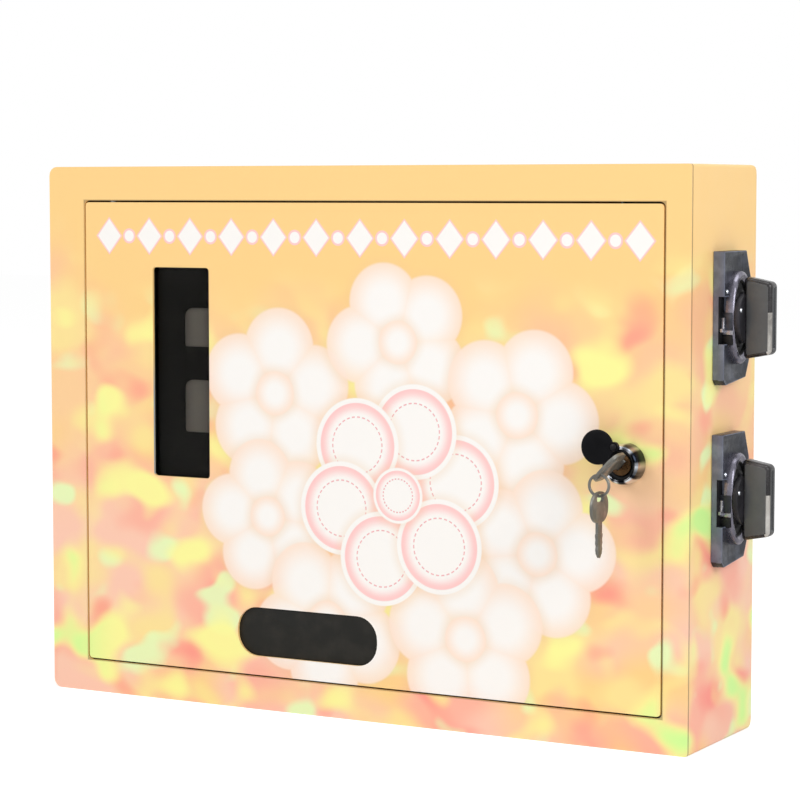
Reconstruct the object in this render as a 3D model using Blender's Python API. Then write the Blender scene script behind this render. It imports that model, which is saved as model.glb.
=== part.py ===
"""Slim wall dispenser for packets: painted cabinet, hinged door, two hand-turned coin mechanisms.

Metres, +Z up. The origin is the middle of the bottom face; the front looks along -Y.
Each mechanism turns a wire coil that lies along X and pushes its row of packets to the left,
where the end packet drops behind the window and slides down to the outlet slot.
"""
import math

import bmesh
import bpy
from mathutils import Matrix, Vector

# Cabinet, its sheet and its front frame
CABINET_WIDTH = 0.396
CABINET_DEPTH = 0.087
CABINET_HEIGHT = 0.300
SHELL_WALL = 0.0012
FRONT_SHEET = 0.0015
CORNER_RADIUS = 0.005
EDGE_RADIUS = 0.0015
FRAME_LEFT = 0.0242
FRAME_RIGHT = 0.0140
FRAME_TOP = 0.0190
FRAME_BOTTOM = 0.0182
KEYHOLE_SPACING = 0.240
KEYHOLE_DROP = 0.045
KEYHOLE_HEAD_RADIUS = 0.005
KEYHOLE_SLOT_RADIUS = 0.00275
KEYHOLE_SLOT_LENGTH = 0.011

# Clearances between pieces, and how far a cutter overruns what it cuts
SEAT_GAP = 0.0003
DOOR_GAP = 0.001
OVERRUN = 0.002

# Door and its hidden pivots
DOOR_RETURN = 0.012
DOOR_RETURN_SHEET = 0.0012
DOOR_CORNER_RADIUS = 0.002
PIVOT_FROM_DOOR_EDGE = 0.016
PIVOT_FROM_FRONT = 0.005
PIVOT_PIN_RADIUS = 0.002
PIVOT_PIN_REACH = 0.008
BRACKET_SHEET = 0.0015
BRACKET_WIDTH = 0.017
BRACKET_DEPTH = 0.0085
BRACKET_HEIGHT = 0.0125
BRACKET_RISE = 0.0004
STRIKE_SHEET = 0.0015
STRIKE_LAP = 0.0055
STRIKE_HEIGHT = 0.180
STRIKE_FLANGE = 0.013

# Window in the door, its pane and the mask behind it
WINDOW_FROM_DOOR_EDGE = 0.0455
WINDOW_WIDTH = 0.0375
WINDOW_FROM_TOP = 0.0561
WINDOW_HEIGHT = 0.1172
WINDOW_RADIUS = 0.002
PANE_LAP = 0.0047
GASKET_THICKNESS = 0.0011
PANE_THICKNESS = 0.002
MASK_THICKNESS = 0.0008
SIGHT_WIDTH = 0.0205
SIGHT_PAST_WINDOW = 0.0038
SIGHT_RADIUS = 0.003
UPPER_SIGHT_RISE = 0.0730
UPPER_SIGHT_HEIGHT = 0.0217
LOWER_SIGHT_RISE = 0.0251
LOWER_SIGHT_HEIGHT = 0.0294

# Outlet slot and its flap
SLOT_FROM_DOOR_EDGE = 0.1011
SLOT_WIDTH = 0.0889
SLOT_BOTTOM = 0.0298
SLOT_HEIGHT = 0.0272
SLOT_RADIUS = 0.0125
FLAP_LAP = 0.0023
FLAP_THICKNESS = 0.0015
FLAP_BARREL_RADIUS = 0.0022
FLAP_ROD_RADIUS = 0.0011
FLAP_ROD_RISE = 0.004
FLAP_CHEEK_THICKNESS = 0.002
FLAP_CHEEK_HEIGHT = 0.008
FLAP_CHEEK_DEPTH = 0.0045

# Cam lock, its keys and its swinging dust cover
LOCK_FROM_DOOR_EDGE = 0.0193
LOCK_HEIGHT = 0.1482
LOCK_HEAD_RADIUS = 0.0106
LOCK_HEAD_LENGTH = 0.0100
LOCK_RECESS_RADIUS = 0.0078
LOCK_RECESS_DEPTH = 0.002
LOCK_BARREL_RADIUS = 0.0085
LOCK_BARREL_LENGTH = 0.0140
LOCK_NUT_RADIUS = 0.0120
LOCK_NUT_THICKNESS = 0.003
NUT_SIDES = 6
PLUG_RADIUS = 0.0056
CAM_LENGTH = 0.026
CAM_WIDTH = 0.010
CAM_THICKNESS = 0.002
CAM_SCREW_RADIUS = 0.0035
CAM_SCREW_HEAD = 0.002
CAM_SCREW_SHANK_RADIUS = 0.0015
CAM_SCREW_SHANK = 0.006
KEY_THICKNESS = 0.0016
KEY_BLADE_WIDTH = 0.0064
KEY_BLADE_LENGTH = 0.012
KEY_NECK_WIDTH = 0.005
KEY_NECK_LENGTH = 0.0056
KEY_BOW_WIDTH = 0.0194
KEY_BOW_LENGTH = 0.016
KEY_SLOT_WIDTH = 0.0165
KEY_SLOT_HEIGHT = 0.0038
KEY_SLOT_FROM_END = 0.0034
KEY_BOW_ROUND_SHARE = 0.42
KEY_SLOT_ROUND_SHARE = 0.48
KEY_TIP_SHARE = 0.3
KEY_TILT = math.radians(226.5)
RING_RADIUS = 0.0054
RING_WIRE_RADIUS = 0.00062
RING_WIRE_SIDES = 8
RING_FROM_KEY_AXIS = 0.0050
COVER_RADIUS = 0.009
COVER_THICKNESS = 0.0018
COVER_PIVOT_RADIUS = 0.0094
COVER_PIVOT_ANGLE = math.radians(103.5)
COVER_REST_ANGLE = math.radians(183.0)
COVER_EAR_RADIUS = 0.0026
COVER_RIVET_RADIUS = 0.0009
COVER_RIVET_HEAD_RADIUS = 0.0017
COVER_RIVET_HEAD = 0.0006

# Coin mechanisms on the right side
UPPER_MECH_SHARE = 0.738333
LOWER_MECH_SHARE = 0.425667
MECH_FROM_FRONT = 0.0465
PLATE_WIDTH = 0.0360
PLATE_HEIGHT = 0.0685
PLATE_THICKNESS = 0.0062
PLATE_BEVEL = 0.0012
PLATE_CHAMFER_WIDTH = 0.006
PLATE_CHAMFER_HEIGHT = 0.014
BOSS_WIDTH = 0.0270
BOSS_HEIGHT = 0.0480
BOSS_THICKNESS = 0.0030
POCKET_DEPTH = 0.0068
POCKET_WIDTH = 0.0034
POCKET_HEIGHT = 0.0240
POCKET_DROP = 0.0010
KNOB_SKIRT_RADIUS = 0.0133
KNOB_SKIRT_THICKNESS = 0.0028
KNOB_GRIP_HEIGHT = 0.0430
KNOB_GRIP_WIDTH = 0.0098
KNOB_GRIP_LENGTH = 0.0140
KNOB_GRIP_TIP_SHARE = 0.86
KNOB_ROOT_SHARE = 0.5
KNOB_BEVEL = 0.0010
SHAFT_RADIUS = 0.004
SHAFT_IN_KNOB = 0.010
HOUSING_WIDTH = 0.036
HOUSING_HEIGHT = 0.050
HOUSING_DEPTH = 0.036
HOUSING_WALL = 0.002
HOUSING_EAR_HEIGHT = 0.008
HOUSING_EAR_THICKNESS = 0.003
SCREW_RADIUS = 0.002
SCREW_HEAD_RADIUS = 0.0035
SCREW_HEAD_LENGTH = 0.0028
SCREW_BITE = 0.004
COIN_WHEEL_RADIUS = 0.0140
COIN_WHEEL_ROOT_RADIUS = 0.0122
COIN_WHEEL_TEETH = 12
TOOTH_ANGLE_SHARES = (0.0, 0.12)
COIN_WHEEL_THICKNESS = 0.004
COIN_WHEEL_FROM_WALL = 0.012
PAWL_PIVOT_ACROSS = 0.0125
PAWL_PIVOT_RISE = 0.0185
PAWL_EYE_RADIUS = 0.0032
PAWL_PIN_RADIUS = 0.0015
PAWL_THICKNESS = 0.0035
PAWL_TAIL_WIDTH = 0.0030
BUSH_RADIUS = 0.007
BUSH_FLANGE_RADIUS = 0.010
BUSH_FLANGE = 0.002
BUSH_LENGTH = 0.0065

# Product rows: coils, trays, packets, the partition, chute and coin box
PARTITION_FROM_SIDE = 0.0456
PARTITION_SETBACK = 0.0155
PARTITION_FLANGE = 0.012
COIL_RADIUS = 0.032
COIL_WIRE_RADIUS = 0.0019
COIL_PITCH = 0.028
COIL_POINTS_PER_TURN = 10
COIL_BEND_RADIUS = 0.005
COIL_BEND_STEPS = 3
HUB_DISC_THICKNESS = 0.003
HUB_BOSS_RADIUS = 0.0095
HUB_BOSS_LENGTH = 0.0078
HUB_WINDOW_RADIUS = 0.0068
HUB_WINDOW_PITCH_RADIUS = 0.0205
HUB_WINDOWS = 6
TRAY_SHEET = 0.0012
TRAY_BELOW_COIL = 0.0003
TRAY_LIP = 0.013
TRAY_FRONT_GAP = 0.0010
TRAY_END_FROM_SIDE = 0.0890
PACKET_TOP_ROOM = 0.0043
PACKET_WIDTH = 0.074
PACKET_THICKNESS = 0.018
PACKET_FROM_SIDE = 0.0915
PACKET_BEVEL = 0.003
CHUTE_SHEET = 0.0012
CHUTE_GUIDE_FROM_SIDE = 0.0606
CHUTE_GUIDE_FROM_TOP = 0.038
CHUTE_SLOPE_TOP = 0.075
CHUTE_FLOOR = 0.026
CHUTE_FLOOR_FROM_SIDE = 0.123
CHUTE_END_FROM_SIDE = 0.2225
CHUTE_END_HEIGHT = 0.060
CHUTE_SETBACK = 0.0090
COIN_BOX_WIDTH = 0.0275
COIN_BOX_HEIGHT = 0.080
COIN_BOX_WALL = 0.0015
COIN_BOX_SETBACK = 0.018
COIN_BOX_FROM_PARTITION = 0.0022

# Smoothness of round shapes
ROUND_SIDES = 32
SMALL_SIDES = 16
CORNER_STEPS = 4
SHARP_ANGLE = math.radians(35.0)
SOFTENED_ANGLE = math.radians(50.0)

# Places that follow from the sizes
FRONT_Y = -CABINET_DEPTH / 2
BACK_Y = CABINET_DEPTH / 2
LEFT_X = -CABINET_WIDTH / 2
RIGHT_X = CABINET_WIDTH / 2
FRAME_BACK_Y = FRONT_Y + FRONT_SHEET
BEHIND_SHEET_Y = FRAME_BACK_Y + SEAT_GAP
INNER_BACK_Y = BACK_Y - SHELL_WALL
INNER_RIGHT_X = RIGHT_X - SHELL_WALL
OPENING_LEFT = LEFT_X + FRAME_LEFT
OPENING_RIGHT = RIGHT_X - FRAME_RIGHT
OPENING_TOP = CABINET_HEIGHT - FRAME_TOP
OPENING_BOTTOM = FRAME_BOTTOM
DOOR_LEFT = OPENING_LEFT + DOOR_GAP
DOOR_RIGHT = OPENING_RIGHT - DOOR_GAP
DOOR_TOP = OPENING_TOP - DOOR_GAP
DOOR_BOTTOM = OPENING_BOTTOM + DOOR_GAP
DOOR_RETURN_Y = FRONT_Y + DOOR_RETURN
WINDOW_BOTTOM = CABINET_HEIGHT - WINDOW_FROM_TOP - WINDOW_HEIGHT
PIVOT = Vector((DOOR_LEFT + PIVOT_FROM_DOOR_EDGE, FRONT_Y + PIVOT_FROM_FRONT, 0.0))
LOCK = Vector((DOOR_RIGHT - LOCK_FROM_DOOR_EDGE, FRONT_Y, LOCK_HEIGHT))
LOCK_FACE_Y = FRONT_Y - LOCK_HEAD_LENGTH
LOCK_REAR_Y = FRONT_Y + LOCK_BARREL_LENGTH
MECH_Y = FRONT_Y + MECH_FROM_FRONT
MECH_HEIGHTS = {"upper": UPPER_MECH_SHARE * CABINET_HEIGHT, "lower": LOWER_MECH_SHARE * CABINET_HEIGHT}
ROW_SPACING = MECH_HEIGHTS["upper"] - MECH_HEIGHTS["lower"]
PACKET_HEIGHT = ROW_SPACING - TRAY_SHEET - SEAT_GAP - PACKET_TOP_ROOM
PARTITION_X = RIGHT_X - PARTITION_FROM_SIDE
HUB_RIGHT_X = PARTITION_X - BUSH_FLANGE - 2 * SEAT_GAP
HUB_LEFT_X = HUB_RIGHT_X - HUB_BOSS_LENGTH - HUB_DISC_THICKNESS


# Scene and materials

def clear_scene():
    for item in list(bpy.data.objects):
        bpy.data.objects.remove(item, do_unlink=True)


def finish(name, colour, roughness, metallic=0.0):
    material = bpy.data.materials.new(name)
    material.use_nodes = True
    shader = material.node_tree.nodes["Principled BSDF"]
    shader.inputs["Base Color"].default_value = (*colour, 1.0)
    shader.inputs["Roughness"].default_value = roughness
    shader.inputs["Metallic"].default_value = metallic
    return material


# Shapes

def add_mesh(name, mesh_data, material, smooth=True):
    bmesh.ops.recalc_face_normals(mesh_data, faces=mesh_data.faces)
    mesh = bpy.data.meshes.new(name)
    mesh_data.to_mesh(mesh)
    mesh_data.free()
    if smooth:
        mesh.shade_smooth()
        mesh.set_sharp_from_angle(angle=SHARP_ANGLE)
    if material is not None:
        mesh.materials.append(material)
    item = bpy.data.objects.new(name, mesh)
    bpy.context.scene.collection.objects.link(item)
    return item


def axis_point(axis, along, across, rise):
    """A point from its place along an axis and its two other coordinates in x, y, z order."""
    if axis == "x":
        return Vector((along, across, rise))
    if axis == "y":
        return Vector((across, along, rise))
    return Vector((across, rise, along))


def prism(name, outline, axis, start, stop, material=None, smooth=True):
    """A closed outline swept straight along one axis."""
    shape = bmesh.new()
    ring = [shape.verts.new(axis_point(axis, start, u, v)) for u, v in outline]
    face = shape.faces.new(ring)
    swept = bmesh.ops.extrude_face_region(shape, geom=[face])
    moved = [part for part in swept["geom"] if isinstance(part, bmesh.types.BMVert)]
    shift = axis_point(axis, stop, 0.0, 0.0) - axis_point(axis, start, 0.0, 0.0)
    bmesh.ops.translate(shape, verts=moved, vec=shift)
    return add_mesh(name, shape, material, smooth)


def box(name, low, high, material=None):
    outline = [(low[1], low[2]), (high[1], low[2]), (high[1], high[2]), (low[1], high[2])]
    return prism(name, outline, "x", low[0], high[0], material, smooth=False)


def arc(centre, radius, first, last, steps):
    points = []
    for step in range(steps + 1):
        angle = first + (last - first) * step / steps
        points.append((centre[0] + radius * math.cos(angle), centre[1] + radius * math.sin(angle)))
    return points


def circle(centre, radius, sides=ROUND_SIDES):
    return arc(centre, radius, 0.0, math.tau * (sides - 1) / sides, sides - 1)


def rounded_rectangle(left, right, bottom, top, radii, steps=CORNER_STEPS):
    """Radii run left bottom, right bottom, right top, left top."""
    corners = ((left, bottom, 1, 1), (right, bottom, -1, 1), (right, top, -1, -1), (left, top, 1, -1))
    points = []
    for index, (u, v, inward_u, inward_v) in enumerate(corners):
        radius = radii[index]
        first = math.pi + index * math.pi / 2
        centre = (u + inward_u * radius, v + inward_v * radius)
        points += arc(centre, radius, first, first + math.pi / 2, steps)
    return points


def ellipse(centre, half_width, half_height, sides=ROUND_SIDES):
    points = []
    for step in range(sides):
        angle = math.tau * step / sides
        points.append(
            (centre[0] + half_width * math.cos(angle), centre[1] + half_height * math.sin(angle)))
    return points


def cylinder(name, centre, radius, axis, start, stop, material=None, sides=ROUND_SIDES):
    return prism(name, circle(centre, radius, sides), axis, start, stop, material)


def boolean(target, other, operation):
    """Cut or join with a live modifier; the tool shape stays as a hidden guide."""
    modifier = target.modifiers.new(operation.lower(), "BOOLEAN")
    modifier.operation = operation
    modifier.solver = "EXACT"
    modifier.object = other
    other.hide_render = True
    other.display_type = "WIRE"
    other.parent = target
    return target


def cut(target, *others):
    for other in others:
        boolean(target, other, "DIFFERENCE")
    return target


def join(target, *others):
    for other in others:
        boolean(target, other, "UNION")
    return target


def gather(name, cutters):
    """Several separate closed cutters as one object, so that one Boolean makes all their holes."""
    shape = bmesh.new()
    for cutter in cutters:
        shape.from_mesh(cutter.data)
        bpy.data.objects.remove(cutter, do_unlink=True)
    return add_mesh(name, shape, None)


def soften(target, width, segments=2):
    modifier = target.modifiers.new("soft edges", "BEVEL")
    modifier.width = width
    modifier.segments = segments
    modifier.limit_method = "ANGLE"
    modifier.angle_limit = SOFTENED_ANGLE
    modifier.harden_normals = False
    return target


def set_origin(item, point):
    """Move an object's origin to its joint's axis without moving its shape."""
    item.data.transform(Matrix.Translation(-Vector(point)))
    item.location = Vector(point)
    for child in item.children:
        child.matrix_parent_inverse = Matrix.Translation(-Vector(point))
    return item


# Cabinet

def mech_opening(inset):
    """Half the width and height of the hole that each mechanism passes through in the side wall."""
    half_width = PLATE_WIDTH / 2 - inset
    half_height = HOUSING_HEIGHT / 2 - HOUSING_EAR_THICKNESS - inset
    return half_width, half_height


def cabinet_body(name, inset, front, corner, edge, material=None):
    """Solid block of the cabinet, inset by the wall, with its folded and pressed corners."""
    outline = rounded_rectangle(
        LEFT_X + inset, RIGHT_X - inset, inset, CABINET_HEIGHT - inset, (corner, edge, edge, corner))
    block = prism(name, outline, "y", front, BACK_Y - inset, material)
    side = rounded_rectangle(
        front - corner * 2, BACK_Y - inset, inset, CABINET_HEIGHT - inset, (edge, corner, corner, edge))
    keep = prism(name + "_back_fold", side, "x", LEFT_X - OVERRUN, RIGHT_X + OVERRUN)
    return boolean(block, keep, "INTERSECT")


def cabinet_shell(paint):
    shell = cabinet_body(
        "cabinet_shell", 0.0, BEHIND_SHEET_Y, CORNER_RADIUS, EDGE_RADIUS, paint)
    inner_corner = CORNER_RADIUS - SHELL_WALL
    hollow = cabinet_body(
        "shell_hollow", SHELL_WALL, BEHIND_SHEET_Y - OVERRUN, inner_corner, EDGE_RADIUS - SHELL_WALL)
    cut(shell, hollow)
    holes = []
    for row, height in MECH_HEIGHTS.items():
        half_width, half_height = mech_opening(HOUSING_WALL)
        holes.append(box(
            "wall_hole_" + row,
            (INNER_RIGHT_X - OVERRUN, MECH_Y - half_width, height - half_height),
            (RIGHT_X + OVERRUN, MECH_Y + half_width, height + half_height)))
        for end in (-1, 1):
            screw_z = height + end * screw_rise()
            holes.append(cylinder(
                f"wall_screw_hole_{row}_{end}", (MECH_Y, screw_z), SCREW_RADIUS + 2 * SEAT_GAP, "x",
                INNER_RIGHT_X - OVERRUN, RIGHT_X + OVERRUN, sides=SMALL_SIDES))
    for side in (-1, 1):
        x = side * KEYHOLE_SPACING / 2
        head_z = CABINET_HEIGHT - KEYHOLE_DROP
        neck = math.asin(KEYHOLE_SLOT_RADIUS / KEYHOLE_HEAD_RADIUS)
        slot_end = (x, head_z + KEYHOLE_SLOT_LENGTH - KEYHOLE_SLOT_RADIUS)
        outline = arc(
            (x, head_z), KEYHOLE_HEAD_RADIUS, math.pi / 2 + neck, math.tau + math.pi / 2 - neck, SMALL_SIDES)
        outline += arc(slot_end, KEYHOLE_SLOT_RADIUS, 0.0, math.pi, 2 * CORNER_STEPS)
        holes.append(prism(f"keyhole_{side}", outline, "y", INNER_BACK_Y - OVERRUN, BACK_Y + OVERRUN))
    return cut(shell, gather("shell_holes", holes))


def front_frame(paint):
    outline = rounded_rectangle(
        LEFT_X, RIGHT_X, 0.0, CABINET_HEIGHT, (CORNER_RADIUS, EDGE_RADIUS, EDGE_RADIUS, CORNER_RADIUS))
    frame = prism("front_frame", outline, "y", FRONT_Y, FRAME_BACK_Y, paint)
    radius = DOOR_CORNER_RADIUS + DOOR_GAP
    opening = rounded_rectangle(
        OPENING_LEFT, OPENING_RIGHT, OPENING_BOTTOM, OPENING_TOP, (radius,) * 4)
    return cut(frame, prism("door_opening", opening, "y", FRONT_Y - OVERRUN, FRAME_BACK_Y + OVERRUN))


def hinge_bracket(name, edge_z, direction, steel):
    """Angle behind the frame whose tab carries the pin; direction is +1 above the door, -1 below."""
    low_x = PIVOT.x - BRACKET_WIDTH / 2
    high_x = PIVOT.x + BRACKET_WIDTH / 2
    near = edge_z + direction * BRACKET_RISE
    tab_far = near + direction * BRACKET_SHEET
    leg_far = near + direction * BRACKET_HEIGHT
    tab_back = BEHIND_SHEET_Y + BRACKET_DEPTH
    leg_back = BEHIND_SHEET_Y + BRACKET_SHEET
    outline = [
        (BEHIND_SHEET_Y, near), (tab_back, near), (tab_back, tab_far), (leg_back, tab_far),
        (leg_back, leg_far), (BEHIND_SHEET_Y, leg_far)]
    bracket = prism(name, outline, "x", low_x, high_x, steel, smooth=False)
    pin_end = near - direction * PIVOT_PIN_REACH
    pin_root = near + direction * BRACKET_SHEET / 2
    pin = cylinder(
        name + "_pin", (PIVOT.x, PIVOT.y), PIVOT_PIN_RADIUS, "z",
        min(pin_end, pin_root), max(pin_end, pin_root), sides=SMALL_SIDES)
    return join(bracket, pin)


def strike_strip(steel):
    """Door stop on the right side, which is also the keeper that the lock's cam turns behind."""
    front = DOOR_RETURN_Y + SEAT_GAP
    back = front + STRIKE_SHEET
    wall_x = INNER_RIGHT_X - SEAT_GAP
    outline = [
        (DOOR_RIGHT - STRIKE_LAP, front), (wall_x, front), (wall_x, front + STRIKE_FLANGE),
        (wall_x - STRIKE_SHEET, front + STRIKE_FLANGE), (wall_x - STRIKE_SHEET, back),
        (DOOR_RIGHT - STRIKE_LAP, back)]
    middle = CABINET_HEIGHT / 2
    return prism(
        "strike_strip", outline, "z", middle - STRIKE_HEIGHT / 2, middle + STRIKE_HEIGHT / 2, steel,
        smooth=False)


# Door

def door_panel(paint):
    outline = rounded_rectangle(
        DOOR_LEFT, DOOR_RIGHT, DOOR_BOTTOM, DOOR_TOP, (DOOR_CORNER_RADIUS,) * 4)
    panel = prism("door_panel", outline, "y", FRONT_Y, DOOR_RETURN_Y, paint)
    inset = DOOR_RETURN_SHEET
    hollow = rounded_rectangle(
        DOOR_LEFT + inset, DOOR_RIGHT - inset, DOOR_BOTTOM + inset, DOOR_TOP - inset,
        (DOOR_CORNER_RADIUS - inset,) * 4)
    cut(panel, prism("door_hollow", hollow, "y", FRAME_BACK_Y, DOOR_RETURN_Y + OVERRUN))
    cut(panel, window_shape("window_cut", 0.0, WINDOW_RADIUS, FRONT_Y - OVERRUN, FRAME_BACK_Y + OVERRUN))
    slot = rounded_rectangle(
        slot_left(), slot_left() + SLOT_WIDTH, SLOT_BOTTOM, SLOT_BOTTOM + SLOT_HEIGHT,
        (SLOT_RADIUS,) * 4, steps=2 * CORNER_STEPS)
    cut(panel, prism("slot_cut", slot, "y", FRONT_Y - OVERRUN, FRAME_BACK_Y + OVERRUN))
    cut(panel, cylinder(
        "lock_hole", (LOCK.x, LOCK.z), LOCK_BARREL_RADIUS + SEAT_GAP, "y",
        FRONT_Y - OVERRUN, FRAME_BACK_Y + OVERRUN))
    holes = (("upper_pivot_hole", DOOR_TOP - DOOR_RETURN_SHEET), ("lower_pivot_hole", DOOR_BOTTOM))
    for name, low in holes:
        cut(panel, cylinder(
            name, (PIVOT.x, PIVOT.y), PIVOT_PIN_RADIUS + SEAT_GAP, "z",
            low - OVERRUN, low + DOOR_RETURN_SHEET + OVERRUN, sides=SMALL_SIDES))
    return set_origin(panel, PIVOT)


def slot_left():
    return DOOR_LEFT + SLOT_FROM_DOOR_EDGE


def window_shape(name, lap, radius, start, stop, material=None):
    left = DOOR_LEFT + WINDOW_FROM_DOOR_EDGE
    outline = rounded_rectangle(
        left - lap, left + WINDOW_WIDTH + lap, WINDOW_BOTTOM - lap, WINDOW_BOTTOM + WINDOW_HEIGHT + lap,
        (radius,) * 4)
    return prism(name, outline, "y", start, stop, material)


def window_pieces(tape, acrylic, black):
    gasket_back = BEHIND_SHEET_Y + GASKET_THICKNESS
    gasket = window_shape("window_gasket", PANE_LAP, WINDOW_RADIUS, BEHIND_SHEET_Y, gasket_back, tape)
    cut(gasket, window_shape(
        "gasket_opening", SEAT_GAP, WINDOW_RADIUS, BEHIND_SHEET_Y - OVERRUN, gasket_back + OVERRUN))
    pane_front = gasket_back + SEAT_GAP
    pane_back = pane_front + PANE_THICKNESS
    window_shape("window_pane", PANE_LAP, WINDOW_RADIUS, pane_front, pane_back, acrylic)
    mask_front = pane_back + SEAT_GAP
    mask_back = mask_front + MASK_THICKNESS
    mask = window_shape("window_mask", PANE_LAP, WINDOW_RADIUS, mask_front, mask_back, black)
    right = DOOR_LEFT + WINDOW_FROM_DOOR_EDGE + WINDOW_WIDTH + SIGHT_PAST_WINDOW
    sights = ((UPPER_SIGHT_RISE, UPPER_SIGHT_HEIGHT), (LOWER_SIGHT_RISE, LOWER_SIGHT_HEIGHT))
    for rise, height in sights:
        low = WINDOW_BOTTOM + rise
        outline = rounded_rectangle(right - SIGHT_WIDTH, right, low, low + height, (SIGHT_RADIUS,) * 4)
        cut(mask, prism(f"sight_{rise}", outline, "y", mask_front - OVERRUN, mask_back + OVERRUN))


def outlet_flap(black, steel):
    """Flap that hangs behind the slot from a rod held by two cheeks on the door."""
    rod_y = BEHIND_SHEET_Y + FLAP_BARREL_RADIUS
    rod_z = SLOT_BOTTOM + SLOT_HEIGHT + FLAP_ROD_RISE
    left = slot_left() - FLAP_LAP
    right = slot_left() + SLOT_WIDTH + FLAP_LAP
    blade = box(
        "outlet_flap", (left, BEHIND_SHEET_Y, SLOT_BOTTOM - FLAP_LAP),
        (right, BEHIND_SHEET_Y + FLAP_THICKNESS, rod_z), black)
    barrel = cylinder(
        "flap_barrel", (rod_y, rod_z), FLAP_BARREL_RADIUS, "x", left, right, sides=SMALL_SIDES)
    join(blade, barrel)
    cut(blade, cylinder(
        "flap_bore", (rod_y, rod_z), FLAP_ROD_RADIUS + SEAT_GAP, "x", left - OVERRUN, right + OVERRUN,
        sides=SMALL_SIDES))
    set_origin(blade, (0.0, rod_y, rod_z))
    cheek_left = left - SEAT_GAP - FLAP_CHEEK_THICKNESS
    cheek_right = right + SEAT_GAP + FLAP_CHEEK_THICKNESS
    rod = cylinder(
        "flap_rod", (rod_y, rod_z), FLAP_ROD_RADIUS, "x",
        cheek_left + FLAP_CHEEK_THICKNESS / 2, cheek_right - FLAP_CHEEK_THICKNESS / 2, steel,
        sides=SMALL_SIDES)
    for name, low_x in (("left", cheek_left), ("right", cheek_right - FLAP_CHEEK_THICKNESS)):
        high = (
            low_x + FLAP_CHEEK_THICKNESS, BEHIND_SHEET_Y + FLAP_CHEEK_DEPTH, rod_z + FLAP_CHEEK_HEIGHT / 2)
        join(rod, box(
            "flap_cheek_" + name, (low_x, BEHIND_SHEET_Y, rod_z - FLAP_CHEEK_HEIGHT / 2), high))


# Lock, keys and dust cover

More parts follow.
